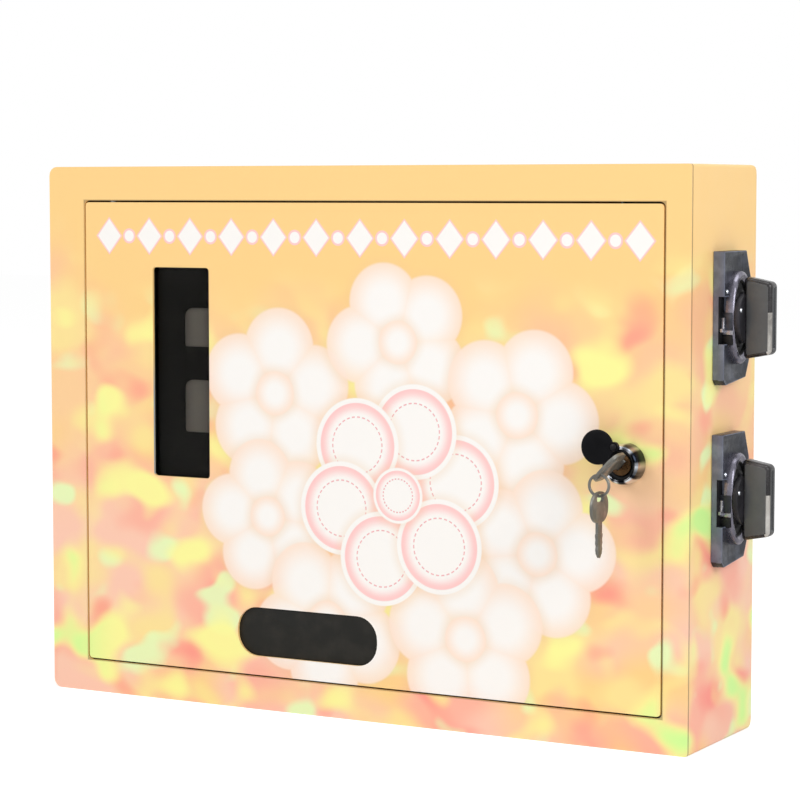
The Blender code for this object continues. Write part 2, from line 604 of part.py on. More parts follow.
def lock_pieces(chrome, brass, steel, black):
    body = cylinder(
        "lock_body", (LOCK.x, LOCK.z), LOCK_HEAD_RADIUS, "y", LOCK_FACE_Y, FRONT_Y - SEAT_GAP, chrome)
    join(body, cylinder(
        "lock_barrel", (LOCK.x, LOCK.z), LOCK_BARREL_RADIUS, "y", FRONT_Y - LOCK_HEAD_LENGTH / 2,
        LOCK_REAR_Y))
    pivot = cover_pivot()
    cover_back = LOCK_FACE_Y - SEAT_GAP
    cover_front = cover_back - COVER_THICKNESS
    head_back = cover_front - SEAT_GAP
    join(
        body,
        cylinder(
            "rivet_shank", (pivot.x, pivot.z), COVER_RIVET_RADIUS, "y", head_back - COVER_RIVET_HEAD / 2,
            LOCK_FACE_Y + LOCK_RECESS_DEPTH, sides=SMALL_SIDES),
        cylinder(
            "rivet_head", (pivot.x, pivot.z), COVER_RIVET_HEAD_RADIUS, "y", head_back - COVER_RIVET_HEAD,
            head_back, sides=SMALL_SIDES))
    plug_y = LOCK_FACE_Y + LOCK_RECESS_DEPTH
    cut(
        body,
        cylinder("lock_recess", (LOCK.x, LOCK.z), LOCK_RECESS_RADIUS, "y", LOCK_FACE_Y - OVERRUN, plug_y),
        cylinder(
            "lock_bore", (LOCK.x, LOCK.z), PLUG_RADIUS + SEAT_GAP, "y", LOCK_FACE_Y - OVERRUN,
            LOCK_REAR_Y + OVERRUN))

    nut = cylinder(
        "lock_nut", (LOCK.x, LOCK.z), LOCK_NUT_RADIUS, "y", BEHIND_SHEET_Y,
        BEHIND_SHEET_Y + LOCK_NUT_THICKNESS, steel, sides=NUT_SIDES)
    cut(nut, cylinder(
        "nut_bore", (LOCK.x, LOCK.z), LOCK_BARREL_RADIUS + SEAT_GAP, "y", FRAME_BACK_Y,
        BEHIND_SHEET_Y + LOCK_NUT_THICKNESS + OVERRUN))

    plug = cylinder("lock_plug", (LOCK.x, LOCK.z), PLUG_RADIUS, "y", plug_y, LOCK_REAR_Y, brass)
    keyway = box(
        "keyway", (-KEY_BLADE_WIDTH / 2 - SEAT_GAP, -OVERRUN, -KEY_THICKNESS / 2 - SEAT_GAP),
        (KEY_BLADE_WIDTH / 2 + SEAT_GAP, KEY_BLADE_LENGTH + SEAT_GAP, KEY_THICKNESS / 2 + SEAT_GAP))
    keyway.data.transform(Matrix.Translation((LOCK.x, plug_y, LOCK.z)) @ Matrix.Rotation(-KEY_TILT, 4, "Y"))
    cam_y = LOCK_REAR_Y + SEAT_GAP
    screw_y = cam_y + CAM_THICKNESS + SEAT_GAP
    screw_hole = CAM_SCREW_SHANK_RADIUS + SEAT_GAP
    cut(plug, keyway, cylinder(
        "plug_screw_hole", (LOCK.x, LOCK.z), screw_hole, "y", screw_y - CAM_SCREW_SHANK - SEAT_GAP,
        LOCK_REAR_Y + OVERRUN, sides=SMALL_SIDES))
    cam_outline = rounded_rectangle(
        LOCK.x - CAM_WIDTH / 2, LOCK.x + CAM_WIDTH / 2, LOCK.z - CAM_LENGTH, LOCK.z + CAM_WIDTH / 2,
        (CAM_WIDTH / 2 - SEAT_GAP,) * 4)
    cam = prism("lock_cam", cam_outline, "y", cam_y, cam_y + CAM_THICKNESS, steel)
    cut(cam, cylinder(
        "cam_hole", (LOCK.x, LOCK.z), screw_hole, "y", cam_y - OVERRUN, screw_y + OVERRUN, sides=SMALL_SIDES))
    screw = cylinder(
        "cam_screw", (LOCK.x, LOCK.z), CAM_SCREW_RADIUS, "y", screw_y, screw_y + CAM_SCREW_HEAD, steel,
        sides=SMALL_SIDES)
    join(screw, cylinder(
        "cam_screw_shank", (LOCK.x, LOCK.z), CAM_SCREW_SHANK_RADIUS, "y", screw_y - CAM_SCREW_SHANK,
        screw_y + CAM_SCREW_HEAD / 2, sides=SMALL_SIDES))
    blade_end = Matrix.Translation((LOCK.x, plug_y + KEY_BLADE_LENGTH, LOCK.z))
    turned = Matrix.Rotation(-KEY_TILT, 4, "Y") @ Matrix.Rotation(math.pi, 4, "X")
    key = key_shape("lock_key", blade_end @ turned, steel)
    for item in (plug, cam, screw, key):
        set_origin(item, LOCK)

    cover = cylinder(
        "dust_cover", (pivot.x + COVER_PIVOT_RADIUS * math.cos(COVER_REST_ANGLE),
                       pivot.z + COVER_PIVOT_RADIUS * math.sin(COVER_REST_ANGLE)),
        COVER_RADIUS, "y", cover_front, cover_back, black)
    join(cover, cylinder(
        "cover_ear", (pivot.x, pivot.z), COVER_EAR_RADIUS, "y", cover_front, cover_back, sides=SMALL_SIDES))
    cut(cover, cylinder(
        "cover_hole", (pivot.x, pivot.z), COVER_RIVET_RADIUS + SEAT_GAP, "y", cover_front - OVERRUN,
        cover_back + OVERRUN, sides=SMALL_SIDES))
    set_origin(cover, pivot)


def cover_pivot():
    return Vector((
        LOCK.x + COVER_PIVOT_RADIUS * math.cos(COVER_PIVOT_ANGLE), LOCK_FACE_Y,
        LOCK.z + COVER_PIVOT_RADIUS * math.sin(COVER_PIVOT_ANGLE)))


def key_outline():
    """Blade tip at the origin, bow end at the far end of +v."""
    blade = KEY_BLADE_WIDTH / 2
    neck = KEY_NECK_WIDTH / 2
    shoulder = KEY_BLADE_LENGTH
    bow_start = shoulder + KEY_NECK_LENGTH
    bow = rounded_rectangle(
        -KEY_BOW_WIDTH / 2, KEY_BOW_WIDTH / 2, bow_start, bow_start + KEY_BOW_LENGTH,
        (KEY_BOW_LENGTH * KEY_BOW_ROUND_SHARE,) * 4)
    turned = bow[CORNER_STEPS + 1:] + bow[:CORNER_STEPS + 1]
    tip = blade * KEY_TIP_SHARE
    right = [(tip, 0.0), (blade, blade - tip), (blade, shoulder), (neck, shoulder), (neck, bow_start)]
    left = [(-u, v) for u, v in reversed(right)]
    return right + turned + left


def key_shape(name, placing, steel):
    key = prism(name, key_outline(), "z", -KEY_THICKNESS / 2, KEY_THICKNESS / 2, steel)
    slot_v = KEY_BLADE_LENGTH + KEY_NECK_LENGTH + KEY_BOW_LENGTH - KEY_SLOT_FROM_END
    outline = rounded_rectangle(
        -KEY_SLOT_WIDTH / 2, KEY_SLOT_WIDTH / 2, slot_v - KEY_SLOT_HEIGHT / 2, slot_v + KEY_SLOT_HEIGHT / 2,
        (KEY_SLOT_HEIGHT * KEY_SLOT_ROUND_SHARE,) * 4)
    slot = prism(name + "_slot", outline, "z", -KEY_THICKNESS, KEY_THICKNESS)
    key.data.transform(placing)
    slot.data.transform(placing)
    return cut(key, slot)


def ring_hole():
    """Where the split ring passes through the slot of the key that is in the lock."""
    slot_v = KEY_NECK_LENGTH + KEY_BOW_LENGTH - KEY_SLOT_FROM_END
    return Vector((
        LOCK.x + RING_FROM_KEY_AXIS * math.cos(KEY_TILT), LOCK_FACE_Y + LOCK_RECESS_DEPTH - slot_v,
        LOCK.z + RING_FROM_KEY_AXIS * math.sin(KEY_TILT)))


def ring_and_spare(steel):
    hole = ring_hole()
    shape = bmesh.new()
    wire = [shape.verts.new((RING_RADIUS + RING_WIRE_RADIUS * u, RING_WIRE_RADIUS * v, 0.0))
            for u, v in circle((0.0, 0.0), 1.0, RING_WIRE_SIDES)]
    edges = [shape.edges.new((wire[index - 1], wire[index])) for index in range(len(wire))]
    bmesh.ops.spin(
        shape, geom=wire + edges, cent=(0.0, 0.0, 0.0), axis=(0.0, 1.0, 0.0), angle=math.tau,
        steps=ROUND_SIDES, use_merge=True)
    ring = add_mesh("key_ring", shape, steel)
    ring.data.transform(Matrix.Translation(hole - Vector((0.0, 0.0, RING_RADIUS))))
    set_origin(ring, hole)

    hang = KEY_SLOT_HEIGHT / 2 - RING_WIRE_RADIUS - SEAT_GAP
    wire_v = KEY_BLADE_LENGTH + KEY_NECK_LENGTH + KEY_BOW_LENGTH - KEY_SLOT_FROM_END + hang
    eye = hole - Vector((0.0, 0.0, 2 * RING_RADIUS))
    upright = Matrix.Rotation(math.pi / 2, 4, "Z") @ Matrix.Rotation(math.pi / 2, 4, "X")
    spare = key_shape("spare_key", Matrix.Translation(eye - Vector((0.0, 0.0, wire_v))) @ upright, steel)
    set_origin(spare, eye)


# Coin mechanisms

def screw_rise():
    return HOUSING_HEIGHT / 2 + HOUSING_EAR_HEIGHT / 2


def mech_plate(row, height, casting):
    """Outer face plate: chamfered casting with a raised oval boss and the coin pocket in its front side."""
    half_width = PLATE_WIDTH / 2
    half_height = PLATE_HEIGHT / 2
    cut_width = half_width - PLATE_CHAMFER_WIDTH
    cut_height = half_height - PLATE_CHAMFER_HEIGHT
    base_x = RIGHT_X + SEAT_GAP
    top_x = base_x + PLATE_THICKNESS
    corners = [
        (-half_width, -half_height), (cut_width, -half_height), (half_width, -cut_height),
        (half_width, cut_height), (cut_width, half_height), (-half_width, half_height)]
    outline = [(MECH_Y + u, height + v) for u, v in corners]
    plate = prism("mech_plate_" + row, outline, "x", base_x, top_x, casting)
    soften(plate, PLATE_BEVEL)
    boss = prism(
        "plate_boss_" + row, ellipse((MECH_Y, height), BOSS_WIDTH / 2, BOSS_HEIGHT / 2), "x",
        top_x - PLATE_THICKNESS / 2, top_x + BOSS_THICKNESS)
    soften(boss, PLATE_BEVEL)
    join(plate, boss)
    pocket_z = height - POCKET_DROP
    pocket_low = (top_x - POCKET_WIDTH, MECH_Y - half_width - OVERRUN, pocket_z - POCKET_HEIGHT / 2)
    cut(plate, box(
        "coin_pocket_" + row, pocket_low,
        (top_x + BOSS_THICKNESS + OVERRUN, MECH_Y - half_width + POCKET_DEPTH,
         pocket_z + POCKET_HEIGHT / 2)))
    cut(plate, cylinder(
        "plate_bore_" + row, (MECH_Y, height), SHAFT_RADIUS + SEAT_GAP, "x", base_x - OVERRUN,
        top_x + BOSS_THICKNESS + OVERRUN, sides=SMALL_SIDES))
    for end in (-1, 1):
        cut(plate, cylinder(
            f"plate_screw_hole_{row}_{end}", (MECH_Y, height + end * screw_rise()),
            SCREW_RADIUS + SEAT_GAP, "x", base_x - OVERRUN, base_x + SCREW_BITE + SEAT_GAP,
            sides=SMALL_SIDES))


def knob_base_x():
    return RIGHT_X + SEAT_GAP + PLATE_THICKNESS + BOSS_THICKNESS + SEAT_GAP


def knob(row, height, casting):
    """Round skirt with a tapered bar grip across it."""
    base_x = knob_base_x()
    skirt_x = base_x + KNOB_SKIRT_THICKNESS
    skirt = cylinder("knob_" + row, (MECH_Y, height), KNOB_SKIRT_RADIUS, "x", base_x, skirt_x, casting)
    half_width = KNOB_GRIP_WIDTH / 2
    half_height = KNOB_GRIP_HEIGHT / 2
    tip_x = skirt_x + KNOB_GRIP_LENGTH
    root_x = skirt_x - KNOB_SKIRT_THICKNESS * KNOB_ROOT_SHARE
    outline = [
        (root_x, -half_height), (tip_x, -half_height * KNOB_GRIP_TIP_SHARE),
        (tip_x, half_height * KNOB_GRIP_TIP_SHARE), (root_x, half_height)]
    grip = bmesh.new()
    face = grip.faces.new([grip.verts.new((x, MECH_Y - half_width, height + z)) for x, z in outline])
    swept = bmesh.ops.extrude_face_region(grip, geom=[face])
    moved = [part for part in swept["geom"] if isinstance(part, bmesh.types.BMVert)]
    bmesh.ops.translate(grip, verts=moved, vec=(0.0, KNOB_GRIP_WIDTH, 0.0))
    grip_item = soften(add_mesh("knob_grip_" + row, grip, None), KNOB_BEVEL)
    join(skirt, grip_item)
    cut(skirt, cylinder(
        "knob_bore_" + row, (MECH_Y, height), SHAFT_RADIUS + SEAT_GAP, "x", base_x - OVERRUN,
        base_x + SHAFT_IN_KNOB + SEAT_GAP, sides=SMALL_SIDES))
    set_origin(skirt, (RIGHT_X, MECH_Y, height))


def knob_shaft(row, height, steel):
    shaft = cylinder(
        "knob_shaft_" + row, (MECH_Y, height), SHAFT_RADIUS, "x", HUB_LEFT_X + SEAT_GAP,
        knob_base_x() + SHAFT_IN_KNOB, steel, sides=SMALL_SIDES)
    set_origin(shaft, (RIGHT_X, MECH_Y, height))


def housing_left_x():
    return INNER_RIGHT_X - SEAT_GAP - HOUSING_DEPTH


def mech_housing(row, height, casting):
    """Cup behind the wall, open to the plate and open at its foot for the coins, with screw ears."""
    left = housing_left_x()
    right = INNER_RIGHT_X - SEAT_GAP
    half_width = HOUSING_WIDTH / 2
    half_height = HOUSING_HEIGHT / 2
    housing = box(
        "mech_housing_" + row, (left, MECH_Y - half_width, height - half_height),
        (right, MECH_Y + half_width, height + half_height), casting)
    ear_z = half_height + HOUSING_EAR_HEIGHT
    join(housing, box(
        "housing_ears_" + row, (right - HOUSING_EAR_THICKNESS, MECH_Y - half_width / 2, height - ear_z),
        (right, MECH_Y + half_width / 2, height + ear_z)))
    inner_width = half_width - HOUSING_WALL
    inner_height = half_height - HOUSING_WALL
    cut(housing, box(
        "housing_hollow_" + row, (left + HOUSING_WALL, MECH_Y - inner_width, height - inner_height),
        (right + OVERRUN, MECH_Y + inner_width, height + inner_height)))
    cut(housing, box(
        "coin_exit_" + row, (left + 2 * HOUSING_WALL, MECH_Y - inner_width, height - half_height - OVERRUN),
        (right - 2 * HOUSING_EAR_THICKNESS, MECH_Y + inner_width, height - inner_height + OVERRUN)))
    cut(housing, cylinder(
        "housing_bore_" + row, (MECH_Y, height), SHAFT_RADIUS + SEAT_GAP, "x", left - OVERRUN,
        left + HOUSING_WALL + OVERRUN, sides=SMALL_SIDES))
    for end in (-1, 1):
        cut(housing, cylinder(
            f"ear_hole_{row}_{end}", (MECH_Y, height + end * screw_rise()), SCREW_RADIUS + SEAT_GAP, "x",
            right - HOUSING_EAR_THICKNESS - OVERRUN, right + OVERRUN, sides=SMALL_SIDES))
    join(housing, cylinder(
        "pawl_pin_" + row, pawl_pivot(height), PAWL_PIN_RADIUS, "x", left + HOUSING_WALL / 2,
        wheel_right_x() + PAWL_THICKNESS / 2, sides=SMALL_SIDES))


def pawl_pivot(height):
    return MECH_Y - PAWL_PIVOT_ACROSS, height + PAWL_PIVOT_RISE


def wheel_right_x():
    return INNER_RIGHT_X - COIN_WHEEL_FROM_WALL


def mech_screws(row, height, steel):
    head_right = INNER_RIGHT_X - SEAT_GAP - HOUSING_EAR_THICKNESS - SEAT_GAP
    for label, end in (("top", 1), ("bottom", -1)):
        centre = (MECH_Y, height + end * screw_rise())
        screw = cylinder(
            f"mech_screw_{row}_{label}", centre, SCREW_HEAD_RADIUS, "x", head_right - SCREW_HEAD_LENGTH,
            head_right, steel, sides=SMALL_SIDES)
        join(screw, cylinder(
            f"screw_shank_{row}_{label}", centre, SCREW_RADIUS, "x", head_right - SCREW_HEAD_LENGTH / 2,
            RIGHT_X + SEAT_GAP + SCREW_BITE, sides=SMALL_SIDES))


def coin_wheel(row, height, steel):
    """Ratchet wheel that a coin lets turn; the pawl rides on its teeth."""
    points = []
    for tooth in range(COIN_WHEEL_TEETH):
        start = math.tau * tooth / COIN_WHEEL_TEETH
        for share, radius in zip(TOOTH_ANGLE_SHARES, (COIN_WHEEL_RADIUS, COIN_WHEEL_ROOT_RADIUS)):
            angle = start + share * math.tau / COIN_WHEEL_TEETH
            points.append((MECH_Y + radius * math.cos(angle), height + radius * math.sin(angle)))
    right = wheel_right_x()
    wheel = prism("coin_wheel_" + row, points, "x", right - COIN_WHEEL_THICKNESS, right, steel, smooth=False)
    cut(wheel, cylinder(
        "wheel_bore_" + row, (MECH_Y, height), SHAFT_RADIUS + SEAT_GAP, "x",
        right - COIN_WHEEL_THICKNESS - OVERRUN, right + OVERRUN, sides=SMALL_SIDES))
    set_origin(wheel, (RIGHT_X, MECH_Y, height))


def pawl(row, height, steel):
    """Lever from its pin to a nose that stands just clear of the tooth tips."""
    pivot_y, pivot_z = pawl_pivot(height)
    nose_radius = PAWL_TAIL_WIDTH / 2
    reach = COIN_WHEEL_RADIUS + nose_radius + SEAT_GAP
    nose_y = MECH_Y
    nose_z = height + reach
    lean = math.atan2(nose_z - pivot_z, nose_y - pivot_y)
    quarter = math.pi / 2
    outline = arc((pivot_y, pivot_z), PAWL_EYE_RADIUS, lean + quarter, lean + 3 * quarter, 2 * CORNER_STEPS)
    outline += arc((nose_y, nose_z), nose_radius, lean - quarter, lean + quarter, CORNER_STEPS)
    middle = wheel_right_x() - COIN_WHEEL_THICKNESS / 2
    lever = prism(
        "pawl_" + row, outline, "x", middle - PAWL_THICKNESS / 2, middle + PAWL_THICKNESS / 2, steel)
    cut(lever, cylinder(
        "pawl_hole_" + row, (pivot_y, pivot_z), PAWL_PIN_RADIUS + SEAT_GAP, "x", middle - PAWL_THICKNESS,
        middle + PAWL_THICKNESS, sides=SMALL_SIDES))
    set_origin(lever, (middle, pivot_y, pivot_z))


# Product rows

def shaft_bush(row, height, brass):
    flange_left = PARTITION_X - SEAT_GAP - BUSH_FLANGE
    flange_right = PARTITION_X - SEAT_GAP
    bush = cylinder(
        "shaft_bush_" + row, (MECH_Y, height), BUSH_FLANGE_RADIUS, "x", flange_left, flange_right, brass)
    join(bush, cylinder(
        "bush_sleeve_" + row, (MECH_Y, height), BUSH_RADIUS, "x", flange_left + BUSH_FLANGE / 2,
        flange_left + BUSH_LENGTH))
    cut(bush, cylinder(
        "bush_bore_" + row, (MECH_Y, height), SHAFT_RADIUS + SEAT_GAP, "x", flange_left - OVERRUN,
        flange_left + BUSH_LENGTH + OVERRUN, sides=SMALL_SIDES))


def coil_hub(row, height, steel):
    """Disc that drives the coil, lightened by round windows, with a boss on the shaft."""
    disc_right = HUB_LEFT_X + HUB_DISC_THICKNESS
    hub = cylinder(
        "coil_hub_" + row, (MECH_Y, height), COIL_RADIUS + COIL_WIRE_RADIUS, "x", HUB_LEFT_X, disc_right,
        steel)
    join(hub, cylinder(
        "hub_boss_" + row, (MECH_Y, height), HUB_BOSS_RADIUS, "x", HUB_LEFT_X + HUB_DISC_THICKNESS / 2,
        HUB_RIGHT_X))
    cut(hub, cylinder(
        "hub_bore_" + row, (MECH_Y, height), SHAFT_RADIUS + SEAT_GAP, "x", HUB_LEFT_X - OVERRUN,
        HUB_RIGHT_X + OVERRUN, sides=SMALL_SIDES))
    for index in range(HUB_WINDOWS):
        angle = math.tau * index / HUB_WINDOWS
        centre = (
            MECH_Y + HUB_WINDOW_PITCH_RADIUS * math.cos(angle),
            height + HUB_WINDOW_PITCH_RADIUS * math.sin(angle))
        cut(hub, cylinder(
            f"hub_window_{row}_{index}", centre, HUB_WINDOW_RADIUS, "x", HUB_LEFT_X - OVERRUN,
            disc_right + OVERRUN, sides=SMALL_SIDES))
    set_origin(hub, (RIGHT_X, MECH_Y, height))


def coil_path():
    """Centre line about its axis: straight off the hub, a bend, then half turns as far as the packet."""
    wire_end_x = HUB_LEFT_X - SEAT_GAP
    straight_end_x = wire_end_x - 2 * COIL_WIRE_RADIUS
    lead = COIL_PITCH / (math.tau * COIL_RADIUS)
    points = [Vector((wire_end_x, 0.0, COIL_RADIUS)), Vector((straight_end_x, 0.0, COIL_RADIUS))]
    for step in range(1, COIL_BEND_STEPS + 1):
        turn = math.pi / 2 * step / COIL_BEND_STEPS
        along = COIL_BEND_RADIUS * math.sin(turn)
        swing = COIL_BEND_RADIUS * (1 - math.cos(turn)) / COIL_RADIUS
        points.append(Vector((
            straight_end_x - along - lead * COIL_RADIUS * swing, -COIL_RADIUS * math.sin(swing),
            COIL_RADIUS * math.cos(swing))))
    start_x = points[-1].x
    start_angle = COIL_BEND_RADIUS / COIL_RADIUS
    packet_right = LEFT_X + PACKET_FROM_SIDE + PACKET_THICKNESS
    room = start_x - COIL_WIRE_RADIUS - SEAT_GAP - packet_right
    half_turns = int(room / (COIL_PITCH / 2))
    steps = half_turns * COIL_POINTS_PER_TURN // 2
    for step in range(1, steps + 1):
        angle = math.tau * step / COIL_POINTS_PER_TURN
        x = start_x - COIL_PITCH * step / COIL_POINTS_PER_TURN
        points.append(Vector((
            x, -COIL_RADIUS * math.sin(start_angle + angle), COIL_RADIUS * math.cos(start_angle + angle))))
    return points


def least_coil_gap(points):
    """Least clear space between two turns, measured between points at least half a turn apart."""
    apart = COIL_POINTS_PER_TURN // 2
    nearest = min(
        (points[first] - points[second]).length
        for first in range(len(points)) for second in range(first + apart, len(points)))
    return nearest - 2 * COIL_WIRE_RADIUS


def vend_coil(row, height, steel):
    points = coil_path()
    curve = bpy.data.curves.new("vend_coil_" + row, "CURVE")
    curve.dimensions = "3D"
    curve.bevel_depth = COIL_WIRE_RADIUS
    curve.bevel_resolution = 1
    curve.use_fill_caps = True
    curve.materials.append(steel)
    spline = curve.splines.new("POLY")
    spline.points.add(len(points) - 1)
    for place, point in zip(spline.points, points):
        place.co = (point.x - RIGHT_X, point.y, point.z, 1.0)
    coil = bpy.data.objects.new("vend_coil_" + row, curve)
    coil.location = (RIGHT_X, MECH_Y, height)
    bpy.context.scene.collection.objects.link(coil)
    print(f"vend_coil_{row}: least gap between turns {least_coil_gap(points):.4f} m")


def row_floor(height):
    return height - COIL_RADIUS - COIL_WIRE_RADIUS - TRAY_BELOW_COIL


def packet_front_y():
    return MECH_Y - PACKET_WIDTH / 2


def product_tray(row, height, steel):
    """Folded channel under the coil, with a front lip and a rear lip against the back wall."""
    floor = row_floor(height)
    low = floor - TRAY_SHEET
    front = packet_front_y() - TRAY_FRONT_GAP - TRAY_SHEET
    back = INNER_BACK_Y - SEAT_GAP
    outline = [
        (front, low), (back, low), (back, floor + TRAY_LIP), (back - TRAY_SHEET, floor + TRAY_LIP),
        (back - TRAY_SHEET, floor), (front + TRAY_SHEET, floor), (front + TRAY_SHEET, floor + TRAY_LIP),
        (front, floor + TRAY_LIP)]
    prism(
        "tray_" + row, outline, "x", LEFT_X + TRAY_END_FROM_SIDE, PARTITION_X - SEAT_GAP, steel,
        smooth=False)


def packet(row, height, wrap):
    left = LEFT_X + PACKET_FROM_SIDE
    low = row_floor(height) + SEAT_GAP
    front = packet_front_y()
    item = box(
        "packet_" + row, (left, front, low),
        (left + PACKET_THICKNESS, front + PACKET_WIDTH, low + PACKET_HEIGHT), wrap)
    soften(item, PACKET_BEVEL)


def mech_partition(steel):
    """Upright sheet between the rows and the mechanisms, with a flange on the back wall."""
    front = FRONT_Y + PARTITION_SETBACK
    back = INNER_BACK_Y - SEAT_GAP
    left = PARTITION_X
    right = PARTITION_X + SHELL_WALL
    flange_right = left + PARTITION_FLANGE
    flange_front = back - SHELL_WALL
    outline = [
        (left, front), (right, front), (right, flange_front), (flange_right, flange_front),
        (flange_right, back), (left, back)]
    end_room = CORNER_RADIUS + SEAT_GAP
    sheet = prism(
        "mech_partition", outline, "z", end_room, CABINET_HEIGHT - end_room, steel, smooth=False)
    for row, height in MECH_HEIGHTS.items():
        cut(sheet, cylinder(
            "partition_hole_" + row, (MECH_Y, height), BUSH_RADIUS + SEAT_GAP, "x", left - OVERRUN,
            right + OVERRUN))


def sheet_outline(path, thickness):
    """Closed outline of folded sheet: the path and its offset to the right of its direction, mitred."""
    offset = []
    for index, point in enumerate(path):
        here = Vector(point)
        before = Vector(path[max(index - 1, 0)])
        after = Vector(path[min(index + 1, len(path) - 1)])
        first = (here - before).normalized() if index else (after - here).normalized()
        last = (after - here).normalized() if index + 1 < len(path) else first
        normal_first = Vector((first.y, -first.x))
        normal_last = Vector((last.y, -last.x))
        middle = (normal_first + normal_last).normalized()
        reach = thickness / middle.dot(normal_first)
        offset.append((here.x + middle.x * reach, here.y + middle.y * reach))
    return list(path) + offset[::-1]


def drop_chute(steel):
    """One folded sheet: guide at the left of the drop, slope, floor behind the slot and end wall."""
    guide_x = LEFT_X + CHUTE_GUIDE_FROM_SIDE
    end_x = LEFT_X + CHUTE_END_FROM_SIDE
    path = [
        (guide_x, CABINET_HEIGHT - CHUTE_GUIDE_FROM_TOP), (guide_x, CHUTE_SLOPE_TOP),
        (LEFT_X + CHUTE_FLOOR_FROM_SIDE, CHUTE_FLOOR), (end_x, CHUTE_FLOOR), (end_x, CHUTE_END_HEIGHT)]
    prism(
        "drop_chute", sheet_outline(path, CHUTE_SHEET), "y", FRONT_Y + CHUTE_SETBACK,
        INNER_BACK_Y - SEAT_GAP, steel, smooth=False)


def coin_box(steel):
    left = PARTITION_X + SHELL_WALL + COIN_BOX_FROM_PARTITION
    front = FRONT_Y + COIN_BOX_SETBACK
    back = INNER_BACK_Y - CORNER_RADIUS
    low = SHELL_WALL + SEAT_GAP
    wall = COIN_BOX_WALL
    tub = box("coin_box", (left, front, low), (left + COIN_BOX_WIDTH, back, low + COIN_BOX_HEIGHT), steel)
    cut(tub, box(
        "coin_box_hollow", (left + wall, front + wall, low + wall),
        (left + COIN_BOX_WIDTH - wall, back - wall, low + COIN_BOX_HEIGHT + OVERRUN)))


# Build everything

def main():
    clear_scene()
    paint = finish("peach paint", (1.0, 0.67, 0.27), 0.45)
    steel = finish("plated steel", (0.56, 0.57, 0.58), 0.35, 1.0)
    casting = finish("dark die casting", (0.10, 0.10, 0.12), 0.38, 0.9)
    chrome = finish("chrome", (0.75, 0.76, 0.78), 0.12, 1.0)
    brass = finish("brass", (0.50, 0.33, 0.16), 0.3, 1.0)
    black = finish("black plastic", (0.012, 0.012, 0.013), 0.35)
    acrylic = finish("smoked acrylic", (0.02, 0.02, 0.02), 0.08)
    tape = finish("grey foam tape", (0.55, 0.55, 0.52), 0.8)
    wrap = finish("packet wrap", (0.62, 0.58, 0.54), 0.5)

    cabinet_shell(paint)
    front_frame(paint)
    hinge_bracket("hinge_bracket_upper", OPENING_TOP, 1, steel)
    hinge_bracket("hinge_bracket_lower", OPENING_BOTTOM, -1, steel)
    strike_strip(steel)
    door_panel(paint)
    window_pieces(tape, acrylic, black)
    outlet_flap(black, steel)
    lock_pieces(chrome, brass, steel, black)
    ring_and_spare(steel)
    for row, height in MECH_HEIGHTS.items():
        mech_plate(row, height, casting)
        knob(row, height, casting)
        knob_shaft(row, height, steel)
        mech_housing(row, height, casting)
        mech_screws(row, height, steel)
        coin_wheel(row, height, steel)
        pawl(row, height, steel)
        shaft_bush(row, height, brass)
        coil_hub(row, height, steel)
        vend_coil(row, height, steel)
        product_tray(row, height, steel)
        packet(row, height, wrap)
    mech_partition(steel)
    drop_chute(steel)
    coin_box(steel)


main()
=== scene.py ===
"""Looks of the slim packet dispenser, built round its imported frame. Metres, +Z up, front towards -Y."""
import math

import bmesh
import bpy
from mathutils import Matrix, Vector
from mathutils.noise import noise as noise_at


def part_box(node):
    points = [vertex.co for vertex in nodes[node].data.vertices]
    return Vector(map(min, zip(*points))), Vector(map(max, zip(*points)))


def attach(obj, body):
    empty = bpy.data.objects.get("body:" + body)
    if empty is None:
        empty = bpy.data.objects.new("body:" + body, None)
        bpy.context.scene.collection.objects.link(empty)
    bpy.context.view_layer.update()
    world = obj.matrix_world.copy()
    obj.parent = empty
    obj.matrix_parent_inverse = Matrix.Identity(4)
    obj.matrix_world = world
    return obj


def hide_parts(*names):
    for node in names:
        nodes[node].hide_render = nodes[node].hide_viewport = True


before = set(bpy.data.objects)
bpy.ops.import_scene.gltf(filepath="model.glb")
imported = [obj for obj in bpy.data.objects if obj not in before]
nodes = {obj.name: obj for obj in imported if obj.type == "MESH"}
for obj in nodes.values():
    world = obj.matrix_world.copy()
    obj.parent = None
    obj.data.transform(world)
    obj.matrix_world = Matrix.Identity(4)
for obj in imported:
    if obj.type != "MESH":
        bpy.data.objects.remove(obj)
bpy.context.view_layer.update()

# Camera
# The photograph was taken a little above the middle of the cabinet, about 29 degrees round to its right,
# from well over a metre away, so the front's right side looks only slightly larger than its left.
CAMERA_PLACE = (0.71295, -1.26382, 0.28623)
CAMERA_AIM = (0.03136, -0.0435, 0.17539)
CAMERA_LENS = 118.5
SENSOR_WIDTH = 36.0
CLIP_END = 20.0


def aimed(name, data, place, aim):
    """A camera or lamp in the scene, turned from its place towards its aim."""
    item = bpy.data.objects.new(name, data)
    item.location = place
    item.rotation_euler = (Vector(aim) - Vector(place)).to_track_quat("-Z", "Y").to_euler()
    bpy.context.scene.collection.objects.link(item)
    return item


camera_data = bpy.data.cameras.new("camera")
camera_data.lens = CAMERA_LENS
camera_data.sensor_width = SENSOR_WIDTH
camera_data.clip_end = CLIP_END
bpy.context.scene.camera = aimed("camera", camera_data, CAMERA_PLACE, CAMERA_AIM)
bpy.context.scene.view_settings.view_transform = "Standard"

